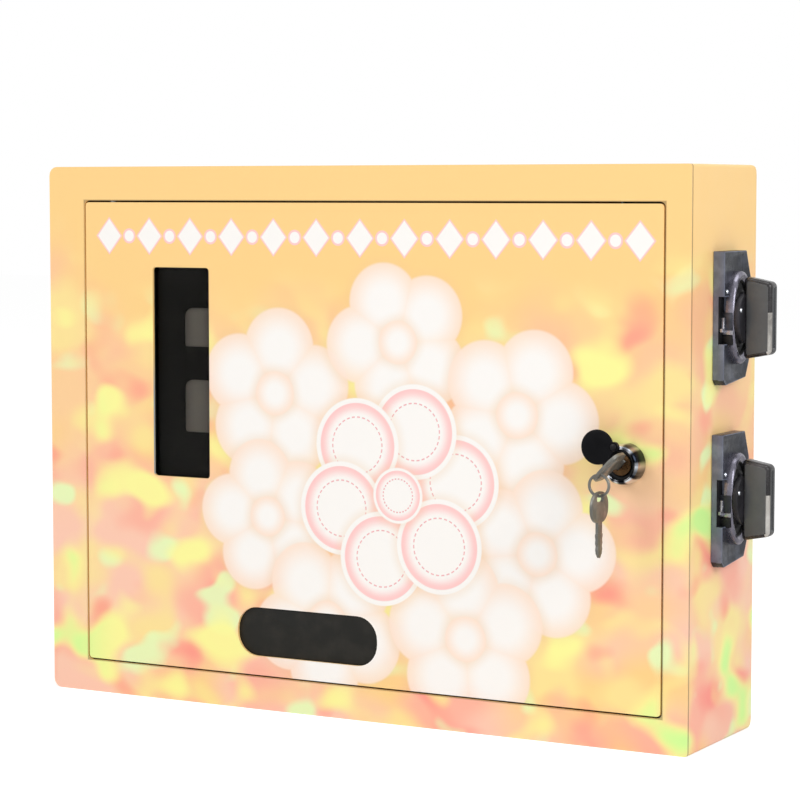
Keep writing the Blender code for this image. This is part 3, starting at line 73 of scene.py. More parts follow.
# Studio
# A white room: even light from all round, one large soft lamp in front at the left and a weaker one at
# the right, and a white floor that keeps the cabinet's soft shadow.
ROOM_LIGHT = 0.585
FLOOR_SIZE = 12.0
FLOOR_LIFT = 0.52
FLOOR_WHITE = (0.80, 0.80, 0.80, 1.0)
PURE_WHITE = (1.0, 1.0, 1.0, 1.0)
LAMPS = (
    # place, aim, size, watts
    ((-0.9, -1.7, 1.3), (0.0, 0.0, 0.15), 1.1, 11.6),
    ((1.5, -0.7, 0.9), (0.1, 0.0, 0.15), 0.8, 10.0),
    ((0.3, -0.2, 1.7), (0.0, 0.0, 0.1), 0.9, 4.8),
)


def linear(red, green, blue):
    """Linear colour of a screen colour given as 0 to 255."""
    def one(value):
        share = value / 255
        return share / 12.92 if share <= 0.04045 else ((share + 0.055) / 1.055) ** 2.4
    return one(red), one(green), one(blue), 1.0


def node_tree(owner):
    """The function that adds a node with its inputs set to the owner's emptied node tree."""
    owner.use_nodes = True
    tree = owner.node_tree
    tree.nodes.clear()

    def add(kind, inputs=None, **settings):
        node = tree.nodes.new(kind)
        for name, value in settings.items():
            setattr(node, name, value)
        for name, value in (inputs or {}).items():
            socket = node.inputs[name]
            if isinstance(value, bpy.types.NodeSocket):
                tree.links.new(value, socket)
            else:
                socket.default_value = value
        return node
    return add


def maths(add, operation, *values):
    """The result of one step of arithmetic on numbers and sockets."""
    return add("ShaderNodeMath", dict(enumerate(values)), operation=operation).outputs[0]


def put(name, shape):
    """An object in the scene made from a bmesh, which isn't needed after that."""
    mesh = bpy.data.meshes.new(name)
    shape.to_mesh(mesh)
    shape.free()
    item = bpy.data.objects.new(name, mesh)
    bpy.context.scene.collection.objects.link(item)
    return item


world = bpy.data.worlds.new("white room")
bpy.context.scene.world = world
add = node_tree(world)
ray = add("ShaderNodeLightPath").outputs
seen = maths(add, "ADD", ray["Is Camera Ray"], ray["Is Glossy Ray"])
seen = maths(add, "ADD", seen, ray["Is Transmission Ray"])
strength = add("ShaderNodeMapRange", {"Value": seen, "To Min": ROOM_LIGHT, "To Max": 1.0}).outputs[0]
room = add("ShaderNodeBackground", {"Color": PURE_WHITE, "Strength": strength})
add("ShaderNodeOutputWorld", {"Surface": room.outputs[0]})

floor_shape = bmesh.new()
bmesh.ops.create_grid(floor_shape, x_segments=1, y_segments=1, size=FLOOR_SIZE / 2)
floor = put("floor", floor_shape)
floor_paint = bpy.data.materials.new("white floor")
add = node_tree(floor_paint)
lift = maths(add, "MULTIPLY", add("ShaderNodeLightPath").outputs["Is Camera Ray"], FLOOR_LIFT)
matte = add("ShaderNodeBsdfDiffuse", {"Color": FLOOR_WHITE})
glow = add("ShaderNodeEmission", {"Color": PURE_WHITE, "Strength": lift})
both = add("ShaderNodeAddShader", {0: matte.outputs[0], 1: glow.outputs[0]})
add("ShaderNodeOutputMaterial", {"Surface": both.outputs[0]})
floor.data.materials.append(floor_paint)

for number, (place, aim, size, watts) in enumerate(LAMPS):
    lamp_data = bpy.data.lights.new(f"lamp {number}", "AREA")
    lamp_data.shape = "DISK"
    lamp_data.size = size
    lamp_data.energy = watts
    aimed(f"lamp {number}", lamp_data, place, aim)

# Cabinet shell and front frame
# Folded and spot-welded sheet steel with peach powder coat, semi-matte and faintly pebbled. A soft printed
# pattern of salmon, yellow and green patches covers the outside but for a plain band along the top.
PEACH = linear(255, 213, 141)
PRINT_TOP = 0.271
PRINT_FADE = 0.050
WANDER_SIZE = 18.0
WANDER = 0.05
COAT_ROUGHNESS = 0.40
# colour, patches per metre, where they lie in the noise, ramp from none to full, strength, share of it aloft
PATCHES = (
    (linear(255, 204, 180), 16.0, (0.30, 1.70, 0.10), (0.30, 0.58), 1.00, 0.35),
    (linear(255, 232, 154), 22.0, (5.10, 0.40, 2.30), (0.46, 0.66), 0.85, 1.0),
    (linear(255, 180, 158), 23.0, (2.40, 3.10, 7.60), (0.46, 0.68), 0.90, 0.58),
    (linear(255, 148, 136), 27.0, (4.70, 9.30, 3.80), (0.57, 0.76), 0.88, 0.85),
    (linear(232, 255, 192), 31.0, (1.90, 6.10, 5.20), (0.60, 0.72), 0.85, 1.0),
    (linear(255, 253, 158), 26.0, (7.10, 5.50, 1.60), (0.50, 0.68), 0.92, 1.0),
)
PINK_BELOW = 0.085
PINK_ALOFT = 0.165
FLATTER = (1.0, 1.0, 1.25)
# the green patches lie in the middle of the pale yellow ones, low down and near the sides
EDGE_GREEN = linear(206, 255, 156)
GREEN_SPREAD = (0.58, 0.70, 0.0, 0.90)
GREEN_FROM_MIDDLE = 0.150
GREEN_FULL = 0.192
GREEN_TOP = 0.185
GREEN_FADE = 0.030
SIDE_RISE = 0.026
BARE_STEEL = linear(176, 186, 192)
# painted shade: dark brown stripes along the fold where the frame meets the shell and on the frame round the door's
# gap stand in for the shade in these gaps
SEAM_SHADE_BROWN = linear(96, 74, 48)
JOINT_Y = -0.0422
JOINT_HALF = 0.0006
JOINT_SHADE_SHARE = 0.62
DOOR_GAP = 0.001
SEAM_WIDTH = 0.0008
SEAM_SHADE_SHARE = 0.60
CABINET_MIDDLE = (0.0, 0.0, -0.150)


def vectors(add, operation, *values):
    """The result of one step of vector arithmetic; distances and dot products are numbers."""
    outputs = add("ShaderNodeVectorMath", dict(enumerate(values)), operation=operation).outputs
    return outputs["Value" if operation in ("DISTANCE", "DOT_PRODUCT") else "Vector"]


def blend_colour(add, under, over, share):
    """One colour laid over another by a share, which may be a number or a socket."""
    return add("ShaderNodeMix", {0: share, 6: under, 7: over}, data_type="RGBA").outputs[2]


def product(add, *values):
    """Values multiplied one after another."""
    total = values[0]
    for value in values[1:]:
        total = maths(add, "MULTIPLY", total, value)
    return total


def away_from(add, value, middle):
    """How far a value lies from a middle, on either side."""
    return maths(add, "ABSOLUTE", maths(add, "SUBTRACT", value, middle))


def ramp(add, value, low, high, start=0.0, end=1.0):
    """A value's share of the way from low to high, from start to end, held at both ends."""
    return add(
        "ShaderNodeMapRange",
        {"Value": value, "From Min": low, "From Max": high, "To Min": start, "To Max": end},
        interpolation_type="SMOOTHSTEP").outputs["Result"]


def noise(add, place, size, detail=2.0, shift=(0.0, 0.0, 0.0), stretch=(1.0, 1.0, 1.0)):
    """Noise of this many patches per metre."""
    moved = add("ShaderNodeMapping", {"Vector": place, "Location": shift, "Scale": stretch}).outputs[0]
    return add("ShaderNodeTexNoise", {"Vector": moved, "Scale": size, "Detail": detail}).outputs["Fac"]


def blank_material(name):
    """A material to fill, with the function that adds its nodes and the place on the object."""
    material = bpy.data.materials.new(name)
    add = node_tree(material)
    return material, add, add("ShaderNodeTexCoord").outputs["Object"]


def surface(add, bump, **inputs):
    """The shader of a material, with its inputs' names in lower case, and a bump of strength, depth, height."""
    inputs = {name.replace("_", " ").title().replace("Ior", "IOR"): value for name, value in inputs.items()}
    if bump:
        inputs["Normal"] = add("ShaderNodeBump", dict(zip(("Strength", "Distance", "Height"), bump))).outputs[0]
    shader = add("ShaderNodeBsdfPrincipled", inputs)
    add("ShaderNodeOutputMaterial", {"Surface": shader.outputs[0]})


def middle_of(node):
    """The middle of a node's box."""
    return [(low + high) / 2 for low, high in zip(*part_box(node))]


def printed_enamel(name, motif=None, worn=None, joint=False):
    """Powder coat with the printed patches outside; motif lays more print over them, worn shows bare steel, and joint
    paints dark brown shade lines where the frame meets the shell and round the door."""
    material, add, place = blank_material(name)
    normal = place.node.outputs["Normal"]
    x, y, z = add("ShaderNodeSeparateXYZ", {0: place}).outputs
    outward = vectors(add, "DOT_PRODUCT", vectors(add, "ADD", place, CABINET_MIDDLE), normal)
    outside = ramp(add, outward, -0.001, 0.001)
    rear = add("ShaderNodeSeparateXYZ", {0: normal}).outputs[1]
    near_side = ramp(add, maths(add, "ABSOLUTE", x), GREEN_FROM_MIDDLE, GREEN_FULL)
    edge = maths(add, "MULTIPLY_ADD", noise(add, place, WANDER_SIZE, 1.0, (3.3, 1.1, 6.2)), WANDER, z)
    edge = maths(add, "MULTIPLY_ADD", near_side, -SIDE_RISE, edge)
    printed = product(
        add, ramp(add, edge, PRINT_TOP, PRINT_TOP - PRINT_FADE), outside, ramp(add, rear, 0.6, 0.4))
    colour = PEACH
    for tint, size, shift, (thin, full), most, aloft in PATCHES:
        patch = ramp(add, noise(add, place, size, 1.0, shift, FLATTER), thin, full, 0.0, most)
        if aloft < 1.0:
            patch = product(add, patch, ramp(add, z, PINK_BELOW, PINK_ALOFT, 1.0, aloft))
        colour = blend_colour(add, colour, tint, product(add, patch, printed))
    green = ramp(add, noise(add, place, PATCHES[-1][1], 1.0, PATCHES[-1][2], FLATTER), *GREEN_SPREAD)
    green = product(add, green, ramp(add, z, GREEN_TOP, GREEN_TOP - GREEN_FADE), near_side, printed)
    colour = blend_colour(add, colour, EDGE_GREEN, green)
    if motif:
        colour = blend_colour(add, PEACH, motif(add, place, x, z, colour), outside)
    if worn:
        colour = blend_colour(add, colour, BARE_STEEL, worn(add, x, y, z))
    if joint:
        # painted shade: a dark brown stripe along the fold where the frame meets the shell
        line = ramp(add, away_from(add, y, JOINT_Y), JOINT_HALF * 1.4, JOINT_HALF * 0.6, 0.0, JOINT_SHADE_SHARE)
        colour = blend_colour(add, colour, SEAM_SHADE_BROWN, product(add, line, outside))
        # painted shade: a dark brown stripe on the frame round the door's gap
        middle, high = middle_of("door_panel"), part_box("door_panel")[1]
        off_door = maths(add, "MAXIMUM", *(
            maths(add, "SUBTRACT", away_from(add, along, middle[way]), high[way] - middle[way])
            for along, way in ((x, 0), (z, 2))))
        seam_shade = ramp(add, off_door, DOOR_GAP + SEAM_WIDTH, DOOR_GAP, 0.0, SEAM_SHADE_SHARE)
        in_front = ramp(add, y, JOINT_Y, JOINT_Y - 0.0005)
        colour = blend_colour(add, colour, SEAM_SHADE_BROWN, product(add, seam_shade, in_front, outside))
    rough = ramp(add, noise(add, place, 60.0, 3.0, (9.0, 2.0, 4.0)), 0.3, 0.7,
                 COAT_ROUGHNESS - 0.04, COAT_ROUGHNESS + 0.05)
    surface(add, (0.12, 0.0002, noise(add, place, 1500.0)), base_color=colour, roughness=rough,
            specular_ior_level=0.25, coat_weight=0.12, coat_roughness=0.30)
    return material


def dress(material, *names):
    """Gives nodes of the frame their finish."""
    for name in names:
        finishes = nodes[name].data.materials
        finishes.clear()
        finishes.append(material)


dress(printed_enamel("printed peach enamel", joint=True), "cabinet_shell", "front_frame")

# Door panel
# A shallow folded tray of the same steel, coated and printed like the cabinet. Its front also carries a
# printed cluster of soft white blossoms and, above the window, a row of white lozenges and dots.
PETAL_WHITE = linear(252, 249, 245)
PETAL_BLUSH = linear(255, 228, 208)
PETAL_SHADE = linear(236, 196, 146)
STITCH_PINK = linear(238, 178, 180)
BLUSH_PINK = linear(255, 205, 203)
# centre x and z, number of petals, their distance from the centre, their radius, turn in degrees
BLOSSOMS = (
    (-0.047, 0.176, 5, 0.025, 0.022, 12.0),
    (0.030, 0.206, 5, 0.023, 0.021, 40.0),
    (0.101, 0.170, 5, 0.025, 0.022, 66.0),
    (-0.052, 0.108, 5, 0.023, 0.020, 30.0),
    (0.113, 0.098, 5, 0.024, 0.021, 6.0),
    (-0.014, 0.052, 5, 0.025, 0.022, 50.0),
    (0.071, 0.050, 5, 0.025, 0.022, 22.0),
)
BLOSSOM_HEART = 0.55
PETAL_STRENGTH = 0.88
PETAL_SOFT = 0.0009
SHADE_REACH = 0.0065
WINDOW_LEFT = -0.1273
DOOR_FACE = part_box("door_panel")[0][1]
# the large blossom in the middle, with stitched petals
MAIN_CENTRE = (0.030, 0.124)
MAIN_PETALS = 6
MAIN_REACH = 0.036
MAIN_RADIUS = 0.0255
MAIN_TURN = 14.0
HEART_RADIUS = 0.0150
STITCH_SHARE = 0.60
STITCH_HALF_WIDTH = 0.00035
STITCHES_ROUND = 30.0
# row of lozenges and dots
ROW_HEIGHT = 0.2612
ROW_ENDS = (-0.1702, 0.1837)
ROW_STEP = (ROW_ENDS[1] - ROW_ENDS[0]) / 13
ROW_TRIM = 0.0045
ROW_TRIM_SOFT = 0.0001
LOZENGE_HALF_WIDTH = 0.0077
LOZENGE_HALF_HEIGHT = 0.0094
DOT_RADIUS = 0.0031
ROW_OUTLINE = 0.0011


def distance_to(add, flat, centre):
    """Distance on the door's face from a point given by x and z."""
    return vectors(add, "DISTANCE", flat, (centre[0], 0.0, centre[1]))


def lay_shade(add, colour, away, radius, most):
    """A faint shade round a petal."""
    shade = ramp(add, away, radius + SHADE_REACH, radius - SHADE_REACH / 2, 0.0, most)
    return blend_colour(add, colour, PETAL_SHADE, shade)


def lay_petals(add, flat, colour, centres, radius):
    """Soft round petals over the colours so far, creased where they meet, with a faint shade round them."""
    away = distance_to(add, flat, centres[0])
    for centre in centres[1:]:
        away = maths(add, "MINIMUM", away, distance_to(add, flat, centre))
    colour = lay_shade(add, colour, away, radius, 0.30)
    cover = ramp(add, away, radius + PETAL_SOFT, radius - PETAL_SOFT)
    colour = blend_colour(add, colour, PETAL_BLUSH, product(add, cover, PETAL_STRENGTH))
    white = ramp(add, away, radius * 1.15, radius * 0.30)
    return blend_colour(add, colour, PETAL_WHITE, product(add, cover, white))


def lay_stitched(add, flat, colour, centre, radius):
    """A firmer white petal with a pink inner edge and a dashed stitch line."""
    away = distance_to(add, flat, centre)
    colour = lay_shade(add, colour, away, radius, 0.34)
    pink = product(add, ramp(add, away, radius * 0.62, radius * 0.88),
                   ramp(add, away, radius * 0.91, radius * 0.885))
    cover = ramp(add, away, radius + PETAL_SOFT / 2, radius - PETAL_SOFT / 2)
    colour = blend_colour(add, colour, PETAL_WHITE, cover)
    colour = blend_colour(add, colour, BLUSH_PINK, pink)
    from_centre = vectors(add, "SUBTRACT", flat, (centre[0], 0.0, centre[1]))
    east, _, north = add("ShaderNodeSeparateXYZ", {0: from_centre}).outputs
    angle = product(add, maths(add, "ARCTAN2", north, east), STITCHES_ROUND)
    off_line = away_from(add, away, radius * STITCH_SHARE)
    thread = product(add, ramp(add, off_line, STITCH_HALF_WIDTH * 1.4, STITCH_HALF_WIDTH * 0.6),
                     ramp(add, maths(add, "SINE", angle), -0.5, -0.1))
    return blend_colour(add, colour, STITCH_PINK, thread)


def petal_centres(x, z, count, reach, turn):
    """Centres of a blossom's petals, the first one turned by this many degrees."""
    for petal in range(count):
        angle = math.radians(turn) + math.tau * petal / count
        yield x + reach * math.cos(angle), z + reach * math.sin(angle)


def lay_row(add, x, z, colour):
    """White lozenges with a pale pink outline, and a dot between each two."""
    east = maths(add, "SUBTRACT", x, ROW_ENDS[0])
    first, last = ROW_ENDS[0] + ROW_TRIM, ROW_ENDS[1] - ROW_TRIM
    inside = product(
        add, ramp(add, x, first - ROW_TRIM_SOFT, first), ramp(add, x, last + ROW_TRIM_SOFT, last))
    rise = away_from(add, z, ROW_HEIGHT)
    for shift, half_width, half_height, power in (
            (0.5, LOZENGE_HALF_WIDTH, LOZENGE_HALF_HEIGHT, 1.0), (0.0, DOT_RADIUS, DOT_RADIUS, 2.0)):
        moved = maths(add, "SUBTRACT", east, ROW_STEP * shift)
        across = maths(add, "ABSOLUTE", maths(add, "WRAP", moved, -ROW_STEP / 2, ROW_STEP / 2))
        for grow, tint in ((ROW_OUTLINE, BLUSH_PINK), (0.0, PETAL_WHITE)):
            total = maths(add, "ADD", *(
                maths(add, "POWER", product(add, part, 1.0 / (half + grow)), power)
                for part, half in ((across, half_width), (rise, half_height))))
            colour = blend_colour(add, colour, tint, product(add, ramp(add, total, 1.04, 0.98), inside))
    return colour


def door_print(add, place, x, z, colour):
    """The whole print of the door's front over its patches."""
    flat = vectors(add, "MULTIPLY", place, (1.0, 0.0, 1.0))
    for centre_x, centre_z, count, reach, radius, turn in BLOSSOMS:
        centres = list(petal_centres(centre_x, centre_z, count, reach, turn))
        colour = lay_petals(add, flat, colour, centres, radius)
        colour = lay_petals(add, flat, colour, [(centre_x, centre_z)], radius * BLOSSOM_HEART)
    for centre in petal_centres(*MAIN_CENTRE, MAIN_PETALS, MAIN_REACH, MAIN_TURN):
        colour = lay_stitched(add, flat, colour, centre, MAIN_RADIUS)
    colour = lay_stitched(add, flat, colour, MAIN_CENTRE, HEART_RADIUS)
    return lay_row(add, x, z, colour)


def worn_edge(add, x, y, z):
    """The lower half of the window's left cut edge, where the coat has come off."""
    depth = maths(add, "SUBTRACT", y, DOOR_FACE)
    within = product(add, ramp(add, depth, 0.0001, 0.0003), ramp(add, depth, 0.00145, 0.00135))
    return product(
        add, ramp(add, away_from(add, x, WINDOW_LEFT), 0.0006, 0.0003), within, ramp(add, z, 0.200, 0.170))


dress(printed_enamel("printed door enamel", door_print, worn_edge), "door_panel")

# Coin mechanism plates
# Dark zinc die castings screwed to the right side from inside: a rim round a sunken field, a raised oval
# rotor ring in its middle, and a coin pocket let into the front edge with its guide and a rivet.
ROWS = ("upper", "lower")
ALONG_X = (1.0, 0.0, 0.0)
ALONG_Y = (0.0, 1.0, 0.0)
BOSS_HEIGHT = 0.003
POCKET_FLOOR_DEPTH = 0.0034
PLATE_ROUND = 0.00056
RIM_WIDTH = 0.0034
FIELD_DEPTH = 0.0012
CHAMFER_ACROSS = 0.006
CHAMFER_UP = 0.014
FOOT_CHAMFER = 0.0028
BOSS_HALF_WIDTH = 0.0135
BOSS_HALF_HEIGHT = 0.024
# how far each point of the rotor ring and of the groove in it lies within its edge and over its top
RING_CUTS = ((0.0, -0.0013), (0.0006, -0.0004), (0.0016, 0.0), (0.0034, -0.0002), (0.0046, -0.0012))
GROOVE_CUTS = (
    (0.0046, -0.0012), (0.0056, -0.0026), (0.0085, -0.0028), (0.0095, -0.0010), (0.0105, -0.0004),
    (BOSS_HALF_HEIGHT, -0.0004))
POCKET_ACROSS = 0.0068
POCKET_HALF_HEIGHT = 0.012
POCKET_DROP = 0.001
LINING_GAP = 0.0002
LINING_THICKNESS = 0.0004
RIVET_RADIUS = 0.0012
RIVET_PROFILE = (
    (0.0, 0.0010), (RIVET_RADIUS * 0.6, 0.0008), (RIVET_RADIUS, 0.0002), (RIVET_RADIUS, -0.0006), (0.0, -0.0006))
GUIDE_THICKNESS = 0.0016
GUIDE_DROP = 0.0106
GUIDE_FOOT = 0.0184
RECESS_DROP = 0.0080
SMALL_ROUND = 0.0004
ROUND_STEPS = 64


def cast_metal(name, colour, light, roughness, metallic=0.85, cloudy=0.40):
    """Cast metal with cloudy tarnish, fine grain and lighter rubbed patches."""
    material, add, place = blank_material(name)
    cloud = ramp(add, noise(add, place, 140.0, 4.0), 0.40, 0.68)
    tint = blend_colour(add, linear(*colour), linear(*light), product(add, cloud, cloudy))
    rough = ramp(add, noise(add, place, 320.0, 3.0, (1.0, 5.0, 2.0)), 0.3, 0.7, roughness - 0.07, roughness + 0.09)
    surface(add, (0.08, 0.0003, noise(add, place, 1400.0, 3.0)), base_color=tint, metallic=metallic,
            roughness=rough)
    return material


def new_ones(parts, known):
    """The parts that a mesh has gained, in their order."""
    return [part for part in parts if part not in known]


def round_off(shape, verts, width, segments=3, least=math.radians(28.0)):
    """Rounds the sharp edges at these vertices."""
    shape.edges.index_update()
    edges = {edge for vert in verts for edge in vert.link_edges if edge.calc_face_angle(0.0) > least}
    bmesh.ops.bevel(
        shape, geom=sorted(edges, key=lambda edge: edge.index), offset=width, offset_type="OFFSET",
        affect="EDGES", segments=segments, profile=0.5, material=-1, clamp_overlap=True)


def extruded(shape, faces, reach):
    """Draws faces out along a vector; returns the vertices and the faces at the far end."""
    drawn = bmesh.ops.extrude_face_region(shape, geom=faces)["geom"]
    moved = [part for part in drawn if isinstance(part, bmesh.types.BMVert)]
    bmesh.ops.translate(shape, verts=moved, vec=reach)
    return moved, [part for part in drawn if isinstance(part, bmesh.types.BMFace)]


def draw_out(shape, outline, reach, width=0.0, segments=3, slot=0):
    """A flat outline drawn out along a vector into a closed block; returns its far face."""
    ring = [shape.verts.new(point) for point in outline]
    near = shape.faces.new(ring)
    moved, (far,) = extruded(shape, [near], reach)
    faces = {face for vert in ring + moved for face in vert.link_faces}
    bmesh.ops.recalc_face_normals(shape, faces=list(faces))
    for face in faces:
        face.material_index = slot
    if width:
        round_off(shape, ring + moved, width, segments)
    return far


def cuts(radius, level, steps):
    """Points of a turned profile, each given by how far it lies within the radius and beyond the level."""
    return [(radius - inset, level + beyond) for inset, beyond in steps]


def turn_round(shape, profile, centre, axis, slot=0, steps=ROUND_STEPS):
    """A profile of (radius, along) points spun about an axis, closed where it meets the axis."""
    axis = Vector(axis)
    side = axis.orthogonal().normalized()
    known = set(shape.faces)
    start = [shape.verts.new(Vector(centre) + axis * along + side * radius) for radius, along in profile]
    edges = [shape.edges.new(pair) for pair in zip(start, start[1:])]
    bmesh.ops.spin(
        shape, geom=start + edges, cent=centre, axis=axis, angle=math.tau, steps=steps, use_merge=True)
    faces = new_ones(shape.faces, known)
    verts = dict.fromkeys(vert for face in faces for vert in face.verts)
    bmesh.ops.remove_doubles(shape, verts=list(verts), dist=1e-6)
    faces = [face for face in faces if face.is_valid]
    bmesh.ops.recalc_face_normals(shape, faces=faces)
    for face in faces:
        face.material_index = slot


def rectangle(left, right, low, high):
    """Corners of a rectangle, anticlockwise from the lower left."""
    return [(left, low), (right, low), (right, high), (left, high)]


def piece(name, shape, finishes, body, slot, *stands_for, least=35.0):
    """A finished mesh on its body, standing for its CAD nodes."""
    item = put(name, shape)
    item.data.shade_smooth()
    item.data.set_sharp_from_angle(angle=math.radians(least))
    for finish in finishes:
        item.data.materials.append(finish)
    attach(item, body)
    if stands_for:
        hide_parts(*stands_for)
    return item


rivet_metal = cast_metal("bright rivet", (200, 205, 214), (236, 240, 246), 0.14, metallic=1.0)
plate_finishes = (
    cast_metal("dark zinc casting", (46, 49, 56), (105, 110, 124), 0.34, metallic=0.6),
    cast_metal("zinc casting worn and with painted highlight", (98, 104, 122), (144, 150, 168), 0.42, metallic=0.1),
    cast_metal("worn rotor ring with painted sheen", (112, 110, 122), (166, 163, 178), 0.24, metallic=0.8),
    # painted shade: black for the ring's groove, the pocket's lining and the block under the guide
    cast_metal("black painted shade in recesses", (10, 10, 12), (22, 22, 26), 0.5, metallic=0.3),
    rivet_metal,
    cast_metal("bright coin guide", (150, 150, 158), (206, 206, 214), 0.25, metallic=0.7))

for row in ROWS:
    (base_x, front, bottom), (boss_x, back, top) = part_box(f"mech_plate_{row}")
    _, axis_y, axis_z = middle_of(f"knob_shaft_{row}")
    face_x = boss_x - BOSS_HEIGHT
    step_x = face_x - POCKET_FLOOR_DEPTH
    pocket_low = axis_z - POCKET_DROP - POCKET_HALF_HEIGHT
    pocket_high = axis_z - POCKET_DROP + POCKET_HALF_HEIGHT
    outer = [
        (front + FOOT_CHAMFER, bottom), (back - CHAMFER_ACROSS, bottom + FOOT_CHAMFER),
        (back, bottom + CHAMFER_UP), (back, top - CHAMFER_UP), (back - CHAMFER_ACROSS, top), (front, top)]
    notch = list(reversed(rectangle(front, front + POCKET_ACROSS, pocket_low, pocket_high)))
    foot = [(front, bottom + FOOT_CHAMFER)]
    plate = bmesh.new()
    draw_out(plate, [(base_x, y, z) for y, z in outer + foot], (step_x - base_x, 0.0, 0.0))
    field = draw_out(
        plate, [(step_x, y, z) for y, z in outer + notch + foot], (face_x - step_x, 0.0, 0.0))
    bmesh.ops.inset_individual(plate, faces=[field], thickness=RIM_WIDTH, use_even_offset=True)
    bmesh.ops.translate(plate, verts=field.verts, vec=(-FIELD_DEPTH, 0.0, 0.0))
    round_off(plate, [vert for vert in plate.verts if vert.co.x > step_x + 1e-5], PLATE_ROUND, 2)
    # the rim's top and the plate's front edge take the lighter casting: wear on the rim, a painted highlight on the
    # front edge
    for face in plate.faces:
        on_rim = face.normal.x > 0.5 and face.calc_center_median().x > face_x - 0.0005
        if face.normal.y < -0.8 or on_rim:
            face.material_index = 1
    # the oval rotor ring is turned round and then narrowed; its lighter lavender casting is partly wear and partly a
    # painted sheen, and the groove and floor inside it are painted black as shade
    known = set(plate.verts)
    ring = [(BOSS_HALF_HEIGHT, face_x - FIELD_DEPTH - 0.0002)] + cuts(BOSS_HALF_HEIGHT, boss_x, RING_CUTS)
    for profile, slot in ((ring, 2), (cuts(BOSS_HALF_HEIGHT, boss_x, GROOVE_CUTS), 3)):
        turn_round(plate, profile, (0.0, axis_y, axis_z), ALONG_X, slot)
    ring_verts = new_ones(plate.verts, known)
    narrow = Matrix.Diagonal((1.0, BOSS_HALF_WIDTH / BOSS_HALF_HEIGHT, 1.0, 1.0))
    narrow = Matrix.Translation((0.0, axis_y, 0.0)) @ narrow @ Matrix.Translation((0.0, -axis_y, 0.0))
    bmesh.ops.transform(plate, matrix=narrow, verts=ring_verts)
    bmesh.ops.remove_doubles(plate, verts=ring_verts, dist=1e-6)
    ring_faces = {face for vert in new_ones(plate.verts, known) for face in vert.link_faces}
    bmesh.ops.recalc_face_normals(plate, faces=list(ring_faces))
    # the coin guide in the pocket stands on its black lining, which paints the pocket's shade
    lining = rectangle(front + 2 * LINING_GAP, front + POCKET_ACROSS - LINING_GAP, pocket_low + LINING_GAP,
                       pocket_high - LINING_GAP)
    draw_out(plate, [(step_x - 0.0001, y, z) for y, z in lining], (LINING_THICKNESS, 0.0, 0.0), slot=3)
    guide_high, guide_low = pocket_high - GUIDE_DROP, pocket_high - GUIDE_FOOT
    guide = (
        (0.0008, guide_low + 0.0004), (0.0060, guide_low - 0.0008), (0.0060, guide_high), (0.0030, guide_high),
        (0.0026, guide_low + 0.0022), (0.0008, guide_low + 0.0022))
    draw_out(plate, [(step_x + LINING_THICKNESS, front + y, z) for y, z in guide], (GUIDE_THICKNESS, 0.0, 0.0),
             0.0003, 2, slot=5)
    # its foot runs back to the rotor ring, with a dark recess over it and a black block under it that paints the shade
    # of a recess
    for below, above, near, far, drop, slot in (
            (guide_low - 0.0010, guide_low + 0.0012, 0.0046, 0.0092, 0.0002, 5),
            (guide_low + 0.0014, pocket_high - RECESS_DROP, 0.0042, 0.0072, 0.0005, 0),
            (guide_low - 0.0064, guide_low - 0.0012, 0.0044, 0.0068, 0.0008, 3)):
        draw_out(
            plate, [(step_x, front + y, z) for y, z in rectangle(near, far, below, above)],
            (boss_x - drop - step_x, 0.0, 0.0), SMALL_ROUND, 2, slot=slot)
    turn_round(
        plate, RIVET_PROFILE, (face_x - 0.0004, front + RIM_WIDTH + 0.0006, pocket_high + 0.0026), ALONG_X, 4, 16)
    piece(f"mech_plate_cast_{row}", plate, plate_finishes, "cabinet", "dark_casting", f"mech_plate_{row}")

# Knobs
# Each is one casting: a round skirt on the rotor ring and a tall tapered bar across it, satin on its flanks, with a
# painted highlight on the lower front outer edge, painted shade on its other edges and on the skirt, and a dark end
# plate let into its outer face.
GRIP_HALF_WIDTH = 0.0049
GRIP_TIP_SHARE = 0.86
GRIP_ROUND = 0.0025
SKIRT_RADIUS = 0.0133
SKIRT_THICKNESS = 0.0028
SKIRT_CUTS = ((0.0, -0.0010), (0.0003, -0.0003), (0.0010, 0.0), (SKIRT_RADIUS, 0.0))
END_PLATE_INSET = 0.0006
END_PLATE_DEPTH = 0.0005
PIN_RADIUS = 0.0013
PIN_PROFILE = ((0.0, 0.0007), (PIN_RADIUS * 0.7, 0.0005), (PIN_RADIUS, 0.0), (PIN_RADIUS, -0.0006), (0.0, -0.0006))
PIN_ACROSS = 0.0106
PIN_RISE = 0.0042
HIGHLIGHT_RISE = 0.003
knob_finishes = (
    cast_metal("satin knob", (90, 91, 92), (104, 106, 107), 0.44, metallic=0.55, cloudy=0.25),
    cast_metal("knob edges with painted highlight", (190, 186, 180), (236, 234, 230), 0.12, metallic=1.0),
    cast_metal("dark end plate", (34, 38, 44), (52, 58, 66), 0.22, metallic=0.6),
    cast_metal("knob edges with painted shade", (58, 57, 58), (104, 102, 104), 0.28, metallic=0.8),
    cast_metal("knob skirt with painted shade", (36, 35, 39), (70, 68, 76), 0.40, metallic=0.5),
    rivet_metal)

